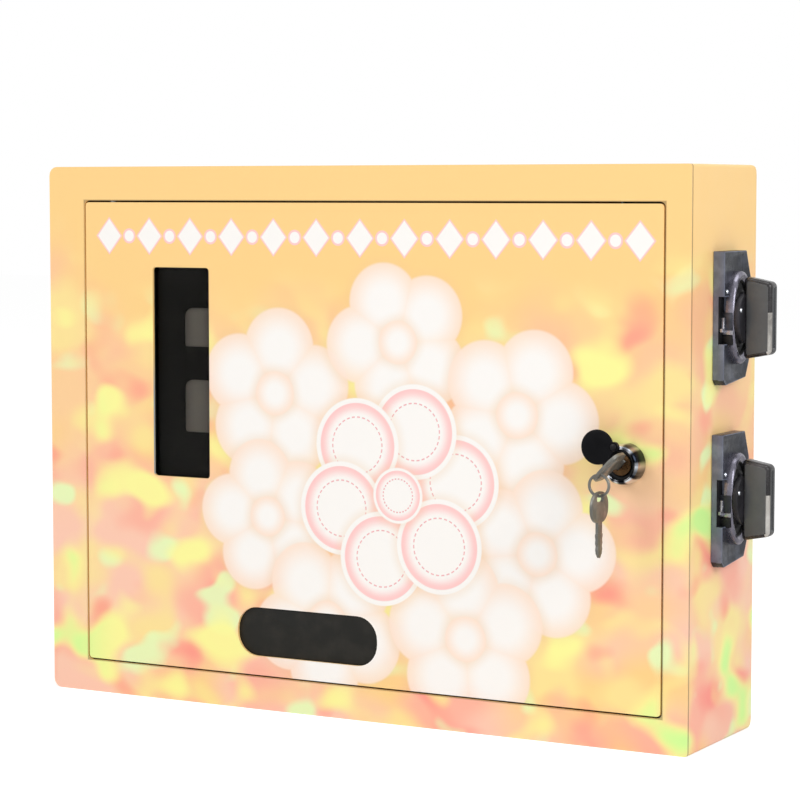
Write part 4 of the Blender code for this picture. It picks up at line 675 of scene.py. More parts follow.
for row in ROWS:
    low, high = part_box(f"knob_{row}")
    _, axis_y, axis_z = middle_of(f"knob_shaft_{row}")
    half_height = (high[2] - low[2]) / 2
    tip_half = half_height * GRIP_TIP_SHARE
    root_x = low[0] + SKIRT_THICKNESS / 2
    skirt_x = low[0] + SKIRT_THICKNESS
    knob = bmesh.new()
    # the skirt takes the darker casting, a painted shade round the grip's root
    turn_round(
        knob, [(0.0, low[0]), (SKIRT_RADIUS, low[0])] + cuts(SKIRT_RADIUS, skirt_x, SKIRT_CUTS),
        (0.0, axis_y, axis_z), ALONG_X, 4)
    turn_round(knob, PIN_PROFILE, (skirt_x, axis_y - PIN_ACROSS, axis_z + PIN_RISE), ALONG_X, 5, 16)
    known = set(knob.verts)
    draw_out(
        knob, [(x, axis_y - GRIP_HALF_WIDTH, axis_z + rise) for x, rise in (
            (root_x, -half_height), (high[0], -tip_half), (high[0], tip_half), (root_x, half_height))],
        (0.0, GRIP_HALF_WIDTH * 2, 0.0))
    round_off(knob, new_ones(knob.verts, known), GRIP_ROUND, 6)
    grip_faces = {face for vert in new_ones(knob.verts, known) for face in vert.link_faces}
    grip_edges = {edge for face in grip_faces for edge in face.edges}
    bmesh.ops.bisect_plane(
        knob, geom=list(grip_faces) + list(grip_edges), plane_co=(0.0, axis_y, axis_z + HIGHLIGHT_RISE),
        plane_no=(0.0, 0.0, 1.0))
    # flanks are satin, the front outer edge below the cut has a painted highlight and all other edges a painted shade
    grip_faces = {face for vert in new_ones(knob.verts, known) for face in vert.link_faces}
    for face in grip_faces:
        flat = max(abs(part) for part in face.normal)
        # rubbed marks the lower front outer edge, which gets the painted highlight
        rubbed = face.normal.y < -0.2 and face.normal.x > 0.2 and face.calc_center_median().z < axis_z + HIGHLIGHT_RISE
        face.material_index = 0 if flat > 0.985 or face.calc_area() > 2e-4 else 1 if rubbed else 3
    foremost = max(face.calc_center_median().x for face in grip_faces)
    end_faces = [face for face in grip_faces if face.calc_center_median().x > foremost - 1e-5]
    end_face = bmesh.ops.dissolve_faces(knob, faces=end_faces, use_verts=True)["region"][0]
    bmesh.ops.inset_individual(knob, faces=[end_face], thickness=END_PLATE_INSET, use_even_offset=True)
    bmesh.ops.translate(knob, verts=end_face.verts, vec=(-END_PLATE_DEPTH, 0.0, 0.0))
    end_face.material_index = 2
    piece(f"knob_cast_{row}", knob, knob_finishes, f"drive_{row}", "dark_casting", f"knob_{row}")

# Cam lock
# A chromed lock head clamped through the door by a hexagon nut, with a threaded barrel, a brass plug, a cam
# on its rear end held by a screw, and a rivet on its face for the dust cover.
# painted reflections: the light and dark colours laid in fans round the lock head
CHROME_PAINTED_BRIGHT = linear(226, 231, 240)
CHROME_PAINTED_DARK = linear(26, 30, 38)
HEAD_RADIUS = 0.0106
HEAD_CUTS = (
    (0.0, 0.0052), (0.00012, 0.0036), (0.0004, 0.0022), (0.0008, 0.0011), (0.0013, 0.0004), (0.00185, 0.0))
RECESS_RADIUS = 0.0078
RECESS_CUTS = ((-0.0004, 0.0001), (-0.0001, 0.0004), (0.0, 0.0009))
RECESS_DEPTH = 0.002
BORE_RADIUS = 0.0059
BARREL_RADIUS = 0.0085
THREAD_PITCH = 0.001
THREAD_DEPTH = 0.0004
THREAD_FROM_DOOR = 0.002
COVER_THICKNESS = 0.0018
RIVET_HEAD_RADIUS = 0.0017
RIVET_SHANK_RADIUS = 0.0009
RIVET_SHANK_DEPTH = 0.0015
PIVOT_RADIUS = 0.0094
PIVOT_ANGLE = math.radians(103.5)
CLEAR = 0.0003

lock_x, _, lock_z = middle_of("lock_nut")
plug_face, lock_rear = (corner[1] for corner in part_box("lock_plug"))
lock_face = plug_face - RECESS_DEPTH
head_back = DOOR_FACE - CLEAR


def spun_chrome(name, centre_x, centre_z):
    """Turned chrome with light and dark reflections painted into its colour in fans round its axis."""
    material, add, place = blank_material(name)
    flat = vectors(add, "MULTIPLY", vectors(add, "SUBTRACT", place, (centre_x, 0.0, centre_z)), (1.0, 0.0, 1.0))
    # painted reflection: light and dark fans by angle round the axis
    light = ramp(add, noise(add, vectors(add, "NORMALIZE", flat), 1.7, 1.0, (0.6, 0.0, 0.35)), 0.40, 0.60)
    surface(add, (0.10, 0.0001, noise(add, place, 2600.0)), metallic=1.0, roughness=0.10,
            base_color=blend_colour(add, CHROME_PAINTED_DARK, CHROME_PAINTED_BRIGHT, light))
    return material


# painted shadow: the lock's recess round the plug is coloured near black for the shade in it; the dust cover's rivet
# shares this black
lock_shadow = cast_metal("black lock recess shade and rivet", (14, 14, 16), (30, 30, 34), 0.35, metallic=0.5)
old_brass = cast_metal("handled brass", (84, 62, 42), (150, 112, 70), 0.28, metallic=0.95)
plated = cast_metal("zinc plated steel", (166, 168, 170), (206, 206, 204), 0.30, metallic=0.95)

head = bmesh.new()
barrel = [(BORE_RADIUS, lock_rear), (BARREL_RADIUS - THREAD_DEPTH, lock_rear)]
along = lock_rear - THREAD_PITCH
while along > DOOR_FACE + THREAD_FROM_DOOR:
    barrel += [(BARREL_RADIUS, along), (BARREL_RADIUS - THREAD_DEPTH, along - THREAD_PITCH / 2)]
    along -= THREAD_PITCH
barrel += [(BARREL_RADIUS, along), (BARREL_RADIUS, head_back)]
barrel += cuts(HEAD_RADIUS, head_back, ((CLEAR, 0.0), (0.0, -CLEAR)))
barrel += cuts(HEAD_RADIUS, lock_face, HEAD_CUTS) + cuts(RECESS_RADIUS, lock_face, RECESS_CUTS)
recess = [
    barrel[-1], (RECESS_RADIUS, plug_face), (BORE_RADIUS + 0.0006, plug_face), (BORE_RADIUS, plug_face + 0.0005),
    (BORE_RADIUS, lock_rear)]
for slot, profile in enumerate((barrel, recess)):
    turn_round(head, profile, (lock_x, 0.0, lock_z), ALONG_Y, slot)
bmesh.ops.remove_doubles(head, verts=head.verts, dist=1e-6)
bmesh.ops.recalc_face_normals(head, faces=head.faces)
pivot_x = lock_x + PIVOT_RADIUS * math.cos(PIVOT_ANGLE)
pivot_z = lock_z + PIVOT_RADIUS * math.sin(PIVOT_ANGLE)
rivet_back = lock_face - 2 * CLEAR - COVER_THICKNESS
turn_round(
    head,
    [(0.0, rivet_back - 0.0006), (RIVET_HEAD_RADIUS * 0.55, rivet_back - 0.00055),
     (RIVET_HEAD_RADIUS * 0.9, rivet_back - 0.0003), (RIVET_HEAD_RADIUS, rivet_back),
     (RIVET_SHANK_RADIUS, rivet_back), (RIVET_SHANK_RADIUS, lock_face + RIVET_SHANK_DEPTH),
     (0.0, lock_face + RIVET_SHANK_DEPTH)],
    (pivot_x, 0.0, pivot_z), ALONG_Y, 1, 24)
piece("lock_head", head, (spun_chrome("lock chrome with painted reflections", lock_x, lock_z), lock_shadow), "door", "lock_chrome",
      "lock_body")
dress(old_brass, "lock_plug")
dress(plated, "lock_nut", "lock_cam", "cam_screw")

# Dust cover
# A glossy black moulded disc with a slightly crowned face and an ear that turns on the lock's rivet.
COVER_RADIUS = 0.009
COVER_TURN = math.radians(183.0)
EAR_RADIUS = 0.0026
EAR_BORE = 0.0011
COVER_EDGE = 0.0003


def moulded(name, colour, light, roughness, grain=900.0, depth=0.12, shine=0.25):
    """Moulded plastic with a faint grain and cloudy wear."""
    material, add, place = blank_material(name)
    wear = product(add, ramp(add, noise(add, place, 90.0, 4.0), 0.35, 0.75), 0.6)
    tint = blend_colour(add, linear(*colour), linear(*light), wear)
    rough = ramp(add, noise(add, place, 240.0, 3.0, (2.0, 1.0, 7.0)), 0.3, 0.7, roughness - 0.04, roughness + 0.07)
    surface(add, (depth, 0.0002, noise(add, place, grain)), base_color=tint, roughness=rough,
            specular_ior_level=shine)
    return material


gloss_black = moulded("glossy black moulding", (9, 9, 12), (20, 20, 24), 0.16, depth=0.03, shine=0.10)
cover = bmesh.new()
cover_back = lock_face - CLEAR
cover_face = cover_back - COVER_THICKNESS
cover_x = pivot_x + PIVOT_RADIUS * math.cos(COVER_TURN)
cover_z = pivot_z + PIVOT_RADIUS * math.sin(COVER_TURN)
turn_round(
    cover,
    [(0.0, cover_face), (COVER_RADIUS * 0.5, cover_face + 0.0001), (COVER_RADIUS * 0.85, cover_face + 0.00035),
     (COVER_RADIUS - COVER_EDGE, cover_face + 0.0006), (COVER_RADIUS, cover_face + 0.0010),
     (COVER_RADIUS, cover_back - COVER_EDGE), (COVER_RADIUS - COVER_EDGE, cover_back), (0.0, cover_back)],
    (cover_x, 0.0, cover_z), ALONG_Y)
turn_round(
    cover,
    [(EAR_BORE, cover_face), (EAR_RADIUS - COVER_EDGE, cover_face), (EAR_RADIUS, cover_face + COVER_EDGE),
     (EAR_RADIUS, cover_back), (EAR_BORE, cover_back), (EAR_BORE, cover_face)],
    (pivot_x, 0.0, pivot_z), ALONG_Y, steps=32)
piece("dust_cover_disc", cover, (gloss_black,), "dust_cover", "black_plastic", "dust_cover")

# Keys and their ring
# Two alike flat keys stamped from nickel-plated steel, one in the lock and one hanging from a split ring of
# two flat turns that passes through both bows.
BLADE_WIDTH = 0.0064
BLADE_LENGTH = 0.012
NECK_WIDTH = 0.005
NECK_LENGTH = 0.0056
BOW_WIDTH = 0.0194
BOW_LENGTH = 0.016
KEY_SLOT_WIDTH = 0.0165
SPARE_SLOT_WIDTH = 0.0078
KEY_SLOT_HEIGHT = 0.0038
KEY_SLOT_FROM_END = 0.0034
KEY_THICKNESS = 0.0016
KEY_TURN = math.radians(226.5)
BITTING_SHARES = (0.70, 0.84, 0.72, 0.92, 0.82)
BITTING_START = 0.0026
BITTING_STEP = 0.0017
BITTING_HALF = 0.0003
PANEL_HALF_WIDTH = 0.0062
RIB_HALF_WIDTH = 0.0006
RAISED = (0.00035, 0.00030)
RAISED_ROUND = 0.0001
RING_RADIUS = 0.0054
RING_HALF = 0.00062
RING_FLAT = 0.00045
SPLIT_HALF = 0.00012
SPLIT_DEPTH = 0.00013
key_nickel = cast_metal("handled nickel", (110, 109, 104), (156, 154, 147), 0.36, metallic=0.55)


def rounded(left, right, low, high, radii, steps=6):
    """Points round a rectangle from its lower left corner, with one radius or a radius for each corner."""
    radii = radii if isinstance(radii, tuple) else (radii,) * 4
    towards_middle = ((1, 1), (-1, 1), (-1, -1), (1, -1))
    points = []
    for index, ((u, v), (across, up)) in enumerate(zip(rectangle(left, right, low, high), towards_middle)):
        radius = radii[index]
        for step in range(steps + 1):
            angle = math.pi + (index + step / steps) * math.pi / 2
            points.append((u + across * radius + radius * math.cos(angle), v + up * radius + radius * math.sin(angle)))
    return points


def oval(middle, half_width, half_height, power, steps=40):
    """Points round a squarish oval, anticlockwise from its lowest point."""
    for step in range(steps):
        turn = math.tau * step / steps
        across, up = math.sin(turn), -math.cos(turn)
        yield (half_width * math.copysign(abs(across) ** (2 / power), across),
               middle + half_height * math.copysign(abs(up) ** (2 / power), up))


def punched(shape, loops, reach):
    """A sheet as thick as its reach, with its first loop outside and the others punched out."""
    edges = []
    for loop in loops:
        verts = [shape.verts.new(point) for point in loop]
        edges += [shape.edges.new((verts[index - 1], verts[index])) for index in range(len(verts))]
    filled = bmesh.ops.triangle_fill(shape, use_beauty=True, use_dissolve=False, edges=edges)["geom"]
    faces = [part for part in filled if isinstance(part, bmesh.types.BMFace)]
    extruded(shape, faces, reach)
    bmesh.ops.recalc_face_normals(shape, faces=shape.faces)
    bmesh.ops.dissolve_limit(shape, angle_limit=math.radians(1.0), verts=shape.verts, edges=shape.edges)


def stamped_key(name, node, body, place, slot_width, power):
    """A flat key with its tip at the origin, its length along v and its oval bow slotted for the ring."""
    key = bmesh.new()
    half_blade = BLADE_WIDTH / 2
    bow_low = BLADE_LENGTH + NECK_LENGTH
    bow_middle = bow_low + BOW_LENGTH / 2
    bow = [
        point for point in oval(bow_middle, BOW_WIDTH / 2, BOW_LENGTH / 2, power)
        if abs(point[0]) > NECK_WIDTH / 2 + 0.0002 or point[1] > bow_middle]
    right = [(half_blade * 0.12, 0.0), (half_blade * 0.50, half_blade * 0.5)]
    for index, share in enumerate(BITTING_SHARES):
        middle = BITTING_START + index * BITTING_STEP
        right += [(half_blade * share, middle - BITTING_HALF), (half_blade * share, middle + BITTING_HALF)]
    right += [(half_blade, BLADE_LENGTH - 0.0006), (half_blade, BLADE_LENGTH), (NECK_WIDTH / 2, BLADE_LENGTH + 0.0004),
              (NECK_WIDTH / 2, bow_low + 0.0004)]
    left = [(-u, v) for u, v in reversed(right)]
    slot_middle = bow_low + BOW_LENGTH - KEY_SLOT_FROM_END
    slot = rounded(
        -slot_width / 2, slot_width / 2, slot_middle - KEY_SLOT_HEIGHT / 2,
        slot_middle + KEY_SLOT_HEIGHT / 2, KEY_SLOT_HEIGHT * 0.48)
    punched(key, [[(u, v, -KEY_THICKNESS / 2) for u, v in loop] for loop in (right + bow + left, slot)],
            (0.0, 0.0, KEY_THICKNESS))
    round_off(key, list(key.verts), 0.0002, 2)
    # a shallow panel raised on both sides of the bow, and the milled rib along the blade
    panel = rounded(-PANEL_HALF_WIDTH, PANEL_HALF_WIDTH, bow_low + 0.0018, slot_middle - 0.0028, 0.0030)
    rib = rectangle(-RIB_HALF_WIDTH, RIB_HALF_WIDTH, 0.0016, bow_low - 0.0010)
    for side in (-1, 1):
        level = side * (KEY_THICKNESS / 2 - 0.0002)
        for outline, rise in zip((panel, rib), RAISED):
            draw_out(key, [(u, v, level) for u, v in outline], (0.0, 0.0, side * rise), RAISED_ROUND, 2)
    bmesh.ops.transform(key, matrix=place, verts=key.verts)
    bmesh.ops.recalc_face_normals(key, faces=key.faces)
    piece(name, key, (key_nickel,), body, "key_steel", node)


in_lock = (
    Matrix.Translation((lock_x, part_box("lock_key")[1][1], lock_z)) @ Matrix.Rotation(-KEY_TURN, 4, "Y")
    @ Matrix.Rotation(math.pi, 4, "X"))
stamped_key("lock_key_stamped", "lock_key", "lock_core", in_lock, KEY_SLOT_WIDTH, 3.0)
hung = (
    Matrix.Translation((*middle_of("spare_key")[:2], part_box("spare_key")[0][2]))
    @ Matrix.Rotation(math.pi / 2, 4, "Z") @ Matrix.Rotation(math.pi / 2, 4, "X"))
stamped_key("spare_key_stamped", "spare_key", "spare_key", hung, SPARE_SLOT_WIDTH, 2.25)
quarter = [
    (RING_HALF, -RING_FLAT), (RING_HALF, -SPLIT_HALF), (RING_HALF - SPLIT_DEPTH, 0.0), (RING_HALF, SPLIT_HALF),
    (RING_HALF, RING_FLAT), (RING_FLAT, RING_HALF)]
section = quarter + [(-across, along) for across, along in reversed(quarter)]
section += [(-RING_FLAT, -RING_HALF), (RING_FLAT, -RING_HALF), section[0]]
ring = bmesh.new()
turn_round(
    ring, [(RING_RADIUS + across, along) for across, along in section], middle_of("key_ring"), ALONG_Y, steps=72)
piece("key_ring_split", ring, (key_nickel,), "key_ring", "key_steel", "key_ring")

# Product coils
# Two bright spring-wire coils, each clipped to its hub by a straight end and bent round before the turns.
WIRE_RADIUS = 0.0019
COIL_RADIUS = 0.032
COIL_PITCH = 0.028
COIL_BEND = 0.005
COIL_TURNS = 7.5
WIRE_SIDES = 14
STEPS_A_TURN = 48
BEND_STEPS = 8
END_SHARES = (0.0, 0.06, 0.16, 0.5, 1.0)
FIRST_THICKNESSES = (0.55, 0.85)
LAST_THICKNESSES = (0.97, 0.7)
wire_steel = cast_metal("drawn spring wire", (150, 150, 150), (206, 206, 204), 0.24, metallic=1.0)


def joined_rings(shape, rings):
    """Closes the walls and both ends of a tube given by its rings of points."""
    rings = [[shape.verts.new(point) for point in ring] for ring in rings]
    for below, above in zip(rings, rings[1:]):
        for step in range(len(below)):
            shape.faces.new((below[step - 1], below[step], above[step], above[step - 1]))
    shape.faces.new(list(reversed(rings[0])))
    shape.faces.new(rings[-1])
    bmesh.ops.recalc_face_normals(shape, faces=shape.faces)


def wire_rings(points, radii):
    """Rings of points round a wire, kept from twisting along it."""
    across = None
    for index, (point, radius) in enumerate(zip(points, radii)):
        ahead = (points[min(index + 1, len(points) - 1)] - points[max(index - 1, 0)]).normalized()
        across = ahead.orthogonal() if across is None else across - ahead * across.dot(ahead)
        across = across.normalized()
        up = ahead.cross(across)
        yield [
            point + (across * math.cos(turn) + up * math.sin(turn)) * radius
            for turn in (math.tau * side / WIRE_SIDES for side in range(WIRE_SIDES))]


for row in ROWS:
    axis = Vector((0.0, *middle_of(f"knob_shaft_{row}")[1:]))
    end_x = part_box(f"coil_hub_{row}")[0][0] - CLEAR
    bend_x = end_x - 2 * WIRE_RADIUS
    lead = COIL_PITCH / math.tau
    route = [(end_x - share * (end_x - bend_x), 0.0) for share in END_SHARES]
    for step in range(1, BEND_STEPS + 1):
        turn = math.pi / 2 * step / BEND_STEPS
        swing = COIL_BEND * (1 - math.cos(turn)) / COIL_RADIUS
        route.append((bend_x - COIL_BEND * math.sin(turn) - lead * swing, swing))
    start_x, start_turn = route[-1]
    for step in range(1, int(COIL_TURNS * STEPS_A_TURN) + 1):
        turn = math.tau * step / STEPS_A_TURN
        route.append((start_x - lead * turn, start_turn + turn))
    points = [axis + Vector((x, -COIL_RADIUS * math.sin(turn), COIL_RADIUS * math.cos(turn))) for x, turn in route]
    shares = FIRST_THICKNESSES + (1.0,) * (len(points) - 4) + LAST_THICKNESSES
    coil = bmesh.new()
    joined_rings(coil, wire_rings(points, [WIRE_RADIUS * share for share in shares]))
    piece(f"coil_wire_{row}", coil, (wire_steel,), f"drive_{row}", "coil_wire", f"vend_coil_{row}")

# Packets
# The end packet of each row: folded cotton goods in a printed film, stood on its folded end, with a crimped
# seal along the top. The slack film is blown up a little by a cloth simulation, seal and foot held, which
# gives it the drawn shoulders and wrinkles of the real wrapping.
PACKET_BODY_RINGS = 54
PACKET_SEAL_RINGS = 12
PACKET_AROUND = 96
SEAL_HEIGHT = 0.0062
SHOULDER_HEIGHT = 0.020
FOOT_HEIGHT = 0.006
FOOT_INSET = 0.002
FOOT_HELD = 0.0008
SEAL_HALF = 0.0004
SEAL_END = 0.0003
CRIMP = 0.00018
SLACK_THICKNESS = 0.78
SLACK_WIDTH = 0.985
UNEVEN = 0.0004
UNEVEN_SIZES = (60.0, 70.0, 70.0)
CLOTH_STEPS = 18
CLOTH = {
    "quality": 6, "mass": 0.05, "tension_stiffness": 20.0, "compression_stiffness": 20.0,
    "shear_stiffness": 8.0, "bending_stiffness": 0.12, "tension_damping": 5.0, "compression_damping": 5.0,
    "shear_damping": 5.0, "bending_damping": 0.5, "use_pressure": True, "uniform_pressure_force": 2.0,
    "shrink_min": -0.035, "vertex_group_mass": "held"}


def wrapping_film():
    """Soft printed film, milky and slightly shiny, with a pale wave print and fine creases."""
    material, add, place = blank_material("printed wrapping film")
    rise = add("ShaderNodeSeparateXYZ", {0: place}).outputs[2]
    wave = maths(add, "ADD", rise, product(add, noise(add, place, 26.0, 1.0), 0.05))
    wave = ramp(add, maths(add, "SINE", product(add, wave, 420.0)), 0.35, 0.75)
    tint = blend_colour(add, linear(228, 222, 212), linear(226, 176, 168), product(add, wave, 0.55))
    rough = ramp(add, noise(add, place, 120.0, 3.0), 0.3, 0.7, 0.28, 0.42)
    surface(add, (0.35, 0.0006, noise(add, place, 210.0, 5.0, (3.0, 1.0, 4.0))), base_color=tint, roughness=rough,
            subsurface_weight=0.12, subsurface_radius=(0.004, 0.003, 0.002), coat_weight=0.35, coat_roughness=0.2)
    return material


def smooth(value):
    """A share eased at both ends and held between 0 and 1."""
    value = min(max(value, 0.0), 1.0)
    return value * value * (3 - 2 * value)


def blown_up(shape, held):
    """The film after a short cloth simulation, in which it is a little too large for its light filling."""
    mesh = bpy.data.meshes.new("slack film")
    shape.to_mesh(mesh)
    item = bpy.data.objects.new("slack film", mesh)
    bpy.context.scene.collection.objects.link(item)
    pins = item.vertex_groups.new(name="held")
    pins.add([vert.index for vert in mesh.vertices if held(vert.co.z)], 1.0, "REPLACE")
    cloth = item.modifiers.new("film", "CLOTH")
    for name, value in CLOTH.items():
        setattr(cloth.settings, name, value)
    cloth.settings.effector_weights.gravity = 0.0
    for step in range(1, CLOTH_STEPS + 1):
        bpy.context.scene.frame_set(step)
    blown = bpy.data.meshes.new_from_object(item.evaluated_get(bpy.context.evaluated_depsgraph_get()))
    bpy.data.objects.remove(item)
    bpy.context.scene.frame_set(1)
    shape.clear()
    shape.from_mesh(blown)
    bpy.data.meshes.remove(blown)


def film_ring(size, rise, seal_foot, lift):
    """Points round the slack film at one height, relative to the middle of the packet's foot."""
    foot = smooth(0.35 + 0.65 * rise / FOOT_HEIGHT)
    shoulder = smooth((seal_foot - rise) / SHOULDER_HEIGHT)
    half_x = max(size.x / 2 * foot * shoulder * SLACK_THICKNESS, SEAL_HALF)
    half_y = size.y / 2 * SLACK_WIDTH - FOOT_INSET * (1 - smooth(rise / FOOT_HEIGHT))
    power = 0.42 + 0.30 * (1 - shoulder)
    for step in range(PACKET_AROUND):
        turn = math.tau * step / PACKET_AROUND
        across, along = math.cos(turn), math.sin(turn)
        x = half_x * math.copysign(abs(across) ** power, across)
        y = half_y * math.copysign(abs(along) ** power, along)
        wide, deep, tall = UNEVEN_SIZES
        soft = noise_at(Vector((x * wide, y * deep, rise * tall + lift * 9.0))) * UNEVEN
        yield x + (math.copysign(soft, across) if abs(across) > 0.05 else 0.0), y, rise


film = wrapping_film()
for row in ROWS:
    low, high = (Vector(corner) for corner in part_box(f"packet_{row}"))
    middle = (low + high) / 2
    size = high - low
    seal_foot = size.z - SEAL_HEIGHT
    rises = [seal_foot * level / PACKET_BODY_RINGS for level in range(PACKET_BODY_RINGS)]
    rises += [seal_foot + SEAL_HEIGHT * level / PACKET_SEAL_RINGS for level in range(PACKET_SEAL_RINGS + 1)]
    packet = bmesh.new()
    joined_rings(packet, [
        [(middle.x + x, middle.y + y, low.z + z) for x, y, z in film_ring(size, rise, seal_foot, middle.z)]
        for rise in rises])
    blown_up(packet, lambda z: z > low.z + seal_foot or z < low.z + FOOT_HELD)
    # the blown film is fitted into the packet's own space, and its seal is crimped
    packet.verts.index_update()
    fit_x = size.x / 2 / max(abs(vert.co.x - middle.x) for vert in packet.verts)
    fit_y = size.y / 2 / max(abs(vert.co.y - middle.y) for vert in packet.verts)
    for vert in packet.verts:
        in_seal = seal_foot < vert.co.z - low.z < size.z - SEAL_END
        ridge = CRIMP if in_seal and (vert.index // PACKET_AROUND) % 2 else 0.0
        vert.co.x = middle.x + (vert.co.x - middle.x) * fit_x + ridge
        vert.co.y = middle.y + (vert.co.y - middle.y) * fit_y
        vert.co.z = max(vert.co.z, low.z)
    wrapped = piece(
        f"wrapped_packet_{row}", packet, (film,), f"packet_{row}", "packet_wrap", f"packet_{row}", least=80.0)
    finer = wrapped.modifiers.new("finer", "SUBSURF")
    finer.levels = finer.render_levels = 1

# Window
# A smoked acrylic pane held behind the door's cut-out on a bead of black foam tape, with a black masking
# sheet behind it, whose two sight holes are backed with milky film.
SMOKE = (0.53, 0.515, 0.49, 1.0)
PANE_IOR = 1.15
FILM_PAINTED_GLOW = linear(176, 170, 163)
FILM_DIM = linear(140, 135, 129)
FILM_MIDDLE = -0.1012
FILM_MARGIN = 0.004
MASK_CORNER = 0.002
SIGHT_ROUNDS = (0.0018, 0.0018, 0.0018, 0.0050)
SIGHT_LEFT = -0.1096
SIGHT_RIGHT = -0.086
SIGHT_LEVELS = ((0.1997, 0.2214), (0.1518, 0.1812))


def smoked_acrylic():
    """Dark tinted acrylic, clear enough to see light things behind it, with faint wiping marks."""
    material, add, place = blank_material("smoked acrylic")
    marks = add("ShaderNodeMapping", {"Vector": place, "Scale": (1.0, 1.0, 0.2)}).outputs[0]
    surface(add, None, base_color=SMOKE, ior=PANE_IOR, transmission_weight=1.0,
            roughness=ramp(add, noise(add, marks, 90.0, 4.0), 0.35, 0.75, 0.02, 0.09))
    return material


def milky_film():
    """Milky film behind a sight hole, with light painted into it: brightest a little left of its middle, darker
    towards its edges.
    """
    material, add, place = blank_material("milky film")
    x = add("ShaderNodeSeparateXYZ", {0: place}).outputs[0]
    # painted light: lighter near the middle and darker towards the edges, as if lit from behind
    edge = ramp(add, away_from(add, x, FILM_MIDDLE), 0.0015, 0.0095)
    tint = blend_colour(add, FILM_PAINTED_GLOW, FILM_DIM, edge)
    tint = blend_colour(add, tint, FILM_DIM, product(add, noise(add, place, 160.0, 3.0), 0.25))
    surface(add, None, base_color=tint, roughness=0.55, subsurface_weight=0.1)
    return material


mask_black = moulded("black masking sheet", (20, 20, 19), (30, 30, 28), 0.6, depth=0.03)
foam = moulded("black foam tape", (24, 24, 24), (44, 44, 43), 0.85, grain=2600.0, depth=0.6)
mask_low, mask_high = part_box("window_mask")
loops = [rounded(mask_low[0], mask_high[0], mask_low[2], mask_high[2], MASK_CORNER)]
loops += [rounded(SIGHT_LEFT, SIGHT_RIGHT, *levels, SIGHT_ROUNDS) for levels in SIGHT_LEVELS]
mask = bmesh.new()
punched(mask, [[(x, mask_low[1], z) for x, z in loop] for loop in loops], (0.0, mask_high[1] - mask_low[1], 0.0))
round_off(mask, list(mask.verts), 0.00015, 2)
piece("masking_sheet", mask, (mask_black,), "door", "black_plastic", "window_mask")
films = bmesh.new()
for low_z, high_z in SIGHT_LEVELS:
    loop = rounded(SIGHT_LEFT - FILM_MARGIN, mask_high[0] - 0.0006, low_z - FILM_MARGIN, high_z + FILM_MARGIN, 0.0015)
    punched(films, [[(x, mask_high[1] + 0.0001, z) for x, z in loop]], (0.0, 0.0003, 0.0))
piece("milky_films", films, (milky_film(),), "door", "black_plastic")
dress(smoked_acrylic(), "window_pane")
dress(foam, "window_gasket")

# Outlet flap
# A black moulded flap with rounded lower corners and stiffening ribs behind, in three knuckles on a steel rod
# that two cheeks hold behind the slot.
FLAP_THICKNESS = 0.0015
FLAP_CORNERS = (0.006, 0.006, 0.0008, 0.0008)
BARREL_EDGE = 0.0003
FLAP_BARREL_RADIUS = 0.0022
FLAP_BORE = 0.0013
KNUCKLES = 3
KNUCKLE_GAP = 0.0015
FLAP_RIBS = 4
RIB_HALF = 0.0007
RIB_RISE = 0.0010
flap_black = moulded("black flap moulding", (24, 24, 21), (44, 42, 37), 0.42, grain=700.0)
flap_low, flap_high = (Vector(corner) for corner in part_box("outlet_flap"))
flap_face = flap_low.y + FLAP_THICKNESS
barrel_y = flap_high.y - FLAP_BARREL_RADIUS
barrel_z = flap_high.z - FLAP_BARREL_RADIUS
flap = bmesh.new()
panel = rounded(flap_low.x, flap_high.x, flap_low.z, barrel_z, FLAP_CORNERS)
draw_out(flap, [(x, flap_low.y, z) for x, z in panel], (0.0, flap_face - flap_low.y, 0.0), 0.0004, 3)
knuckle = (flap_high.x - flap_low.x) / KNUCKLES
for index in range(KNUCKLES):
    start = flap_low.x + index * knuckle + (KNUCKLE_GAP / 2 if index else 0.0)
    end = flap_low.x + (index + 1) * knuckle - (KNUCKLE_GAP / 2 if index < KNUCKLES - 1 else 0.0)
    turn_round(
        flap,
        [(FLAP_BORE, start), (FLAP_BARREL_RADIUS - BARREL_EDGE, start), (FLAP_BARREL_RADIUS, start + BARREL_EDGE),
         (FLAP_BARREL_RADIUS, end - BARREL_EDGE), (FLAP_BARREL_RADIUS - BARREL_EDGE, end), (FLAP_BORE, end),
         (FLAP_BORE, start)],
        (0.0, barrel_y, barrel_z), ALONG_X, steps=32)
for index in range(FLAP_RIBS):
    rib_x = flap_low.x + (index + 0.5) * (flap_high.x - flap_low.x) / FLAP_RIBS - RIB_HALF
    draw_out(
        flap, [(rib_x, flap_face - 0.0002, flap_low.z + 0.004), (rib_x, flap_face + RIB_RISE, flap_low.z + 0.005),
               (rib_x, flap_face + RIB_RISE, barrel_z - 0.001), (rib_x, flap_face - 0.0002, barrel_z - 0.001)],
        (2 * RIB_HALF, 0.0, 0.0), 0.0002, 2)
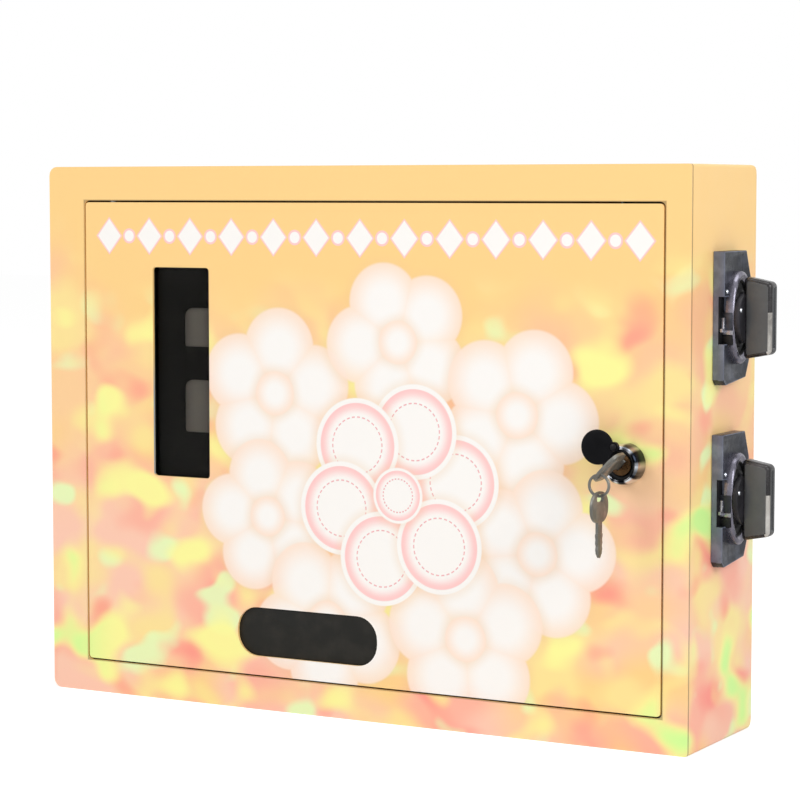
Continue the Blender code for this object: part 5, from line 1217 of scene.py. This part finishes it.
piece("flap_moulding", flap, (flap_black,), "flap", "black_plastic", "outlet_flap")
dress(plated, "flap_rod")

# Folded steel inside
# Galvanised sheet parts: two hinge brackets and a strike strip welded in, the partition, the two product
# trays, the drop chute and the coin box.
SHEET_GREY = linear(150, 154, 156)
SHEET_LIGHT = linear(196, 200, 200)
SHEET_DIRT = linear(128, 124, 116)
CRYSTALS = 95.0


def galvanised():
    """Rolled zinc-coated sheet with soft crystal patches and fine rolling lines."""
    material, add, place = blank_material("galvanised sheet")
    cells = add("ShaderNodeTexVoronoi", {"Vector": place, "Scale": CRYSTALS, "Randomness": 1.0})
    shade = add("ShaderNodeSeparateColor", {0: cells.outputs["Color"]}).outputs[0]
    patch = blend_colour(add, SHEET_GREY, SHEET_LIGHT, product(add, shade, 0.55))
    dirt = ramp(add, noise(add, place, 38.0, 4.0), 0.48, 0.78)
    patch = blend_colour(add, patch, SHEET_DIRT, product(add, dirt, 0.35))
    lines = add("ShaderNodeMapping", {"Vector": place, "Scale": (0.04, 1.0, 1.0)}).outputs[0]
    surface(add, (0.12, 0.0002, noise(add, lines, 900.0)), base_color=patch, metallic=0.9,
            roughness=ramp(add, shade, 0.0, 1.0, 0.30, 0.46))
    return material


dress(
    galvanised(), "hinge_bracket_upper", "hinge_bracket_lower", "strike_strip", "mech_partition", "tray_upper",
    "tray_lower", "drop_chute", "coin_box")

# Coin mechanism works
# Behind each plate: the cast housing with its two screws, the shaft with its coin wheel, the pawl that drops
# into the wheel, the brass bush in the partition and the hub that the coil is clipped to.
housing_cast = cast_metal("housing casting", (70, 70, 74), (128, 127, 132), 0.42)
wheel_cast = cast_metal("coin wheel casting", (142, 140, 136), (198, 196, 190), 0.34, metallic=0.95)
for row in ROWS:
    dress(housing_cast, f"mech_housing_{row}")
    dress(wheel_cast, f"coin_wheel_{row}", f"coil_hub_{row}")
    dress(old_brass, f"shaft_bush_{row}")
    dress(plated, f"knob_shaft_{row}", f"pawl_{row}", f"mech_screw_{row}_top", f"mech_screw_{row}_bottom")
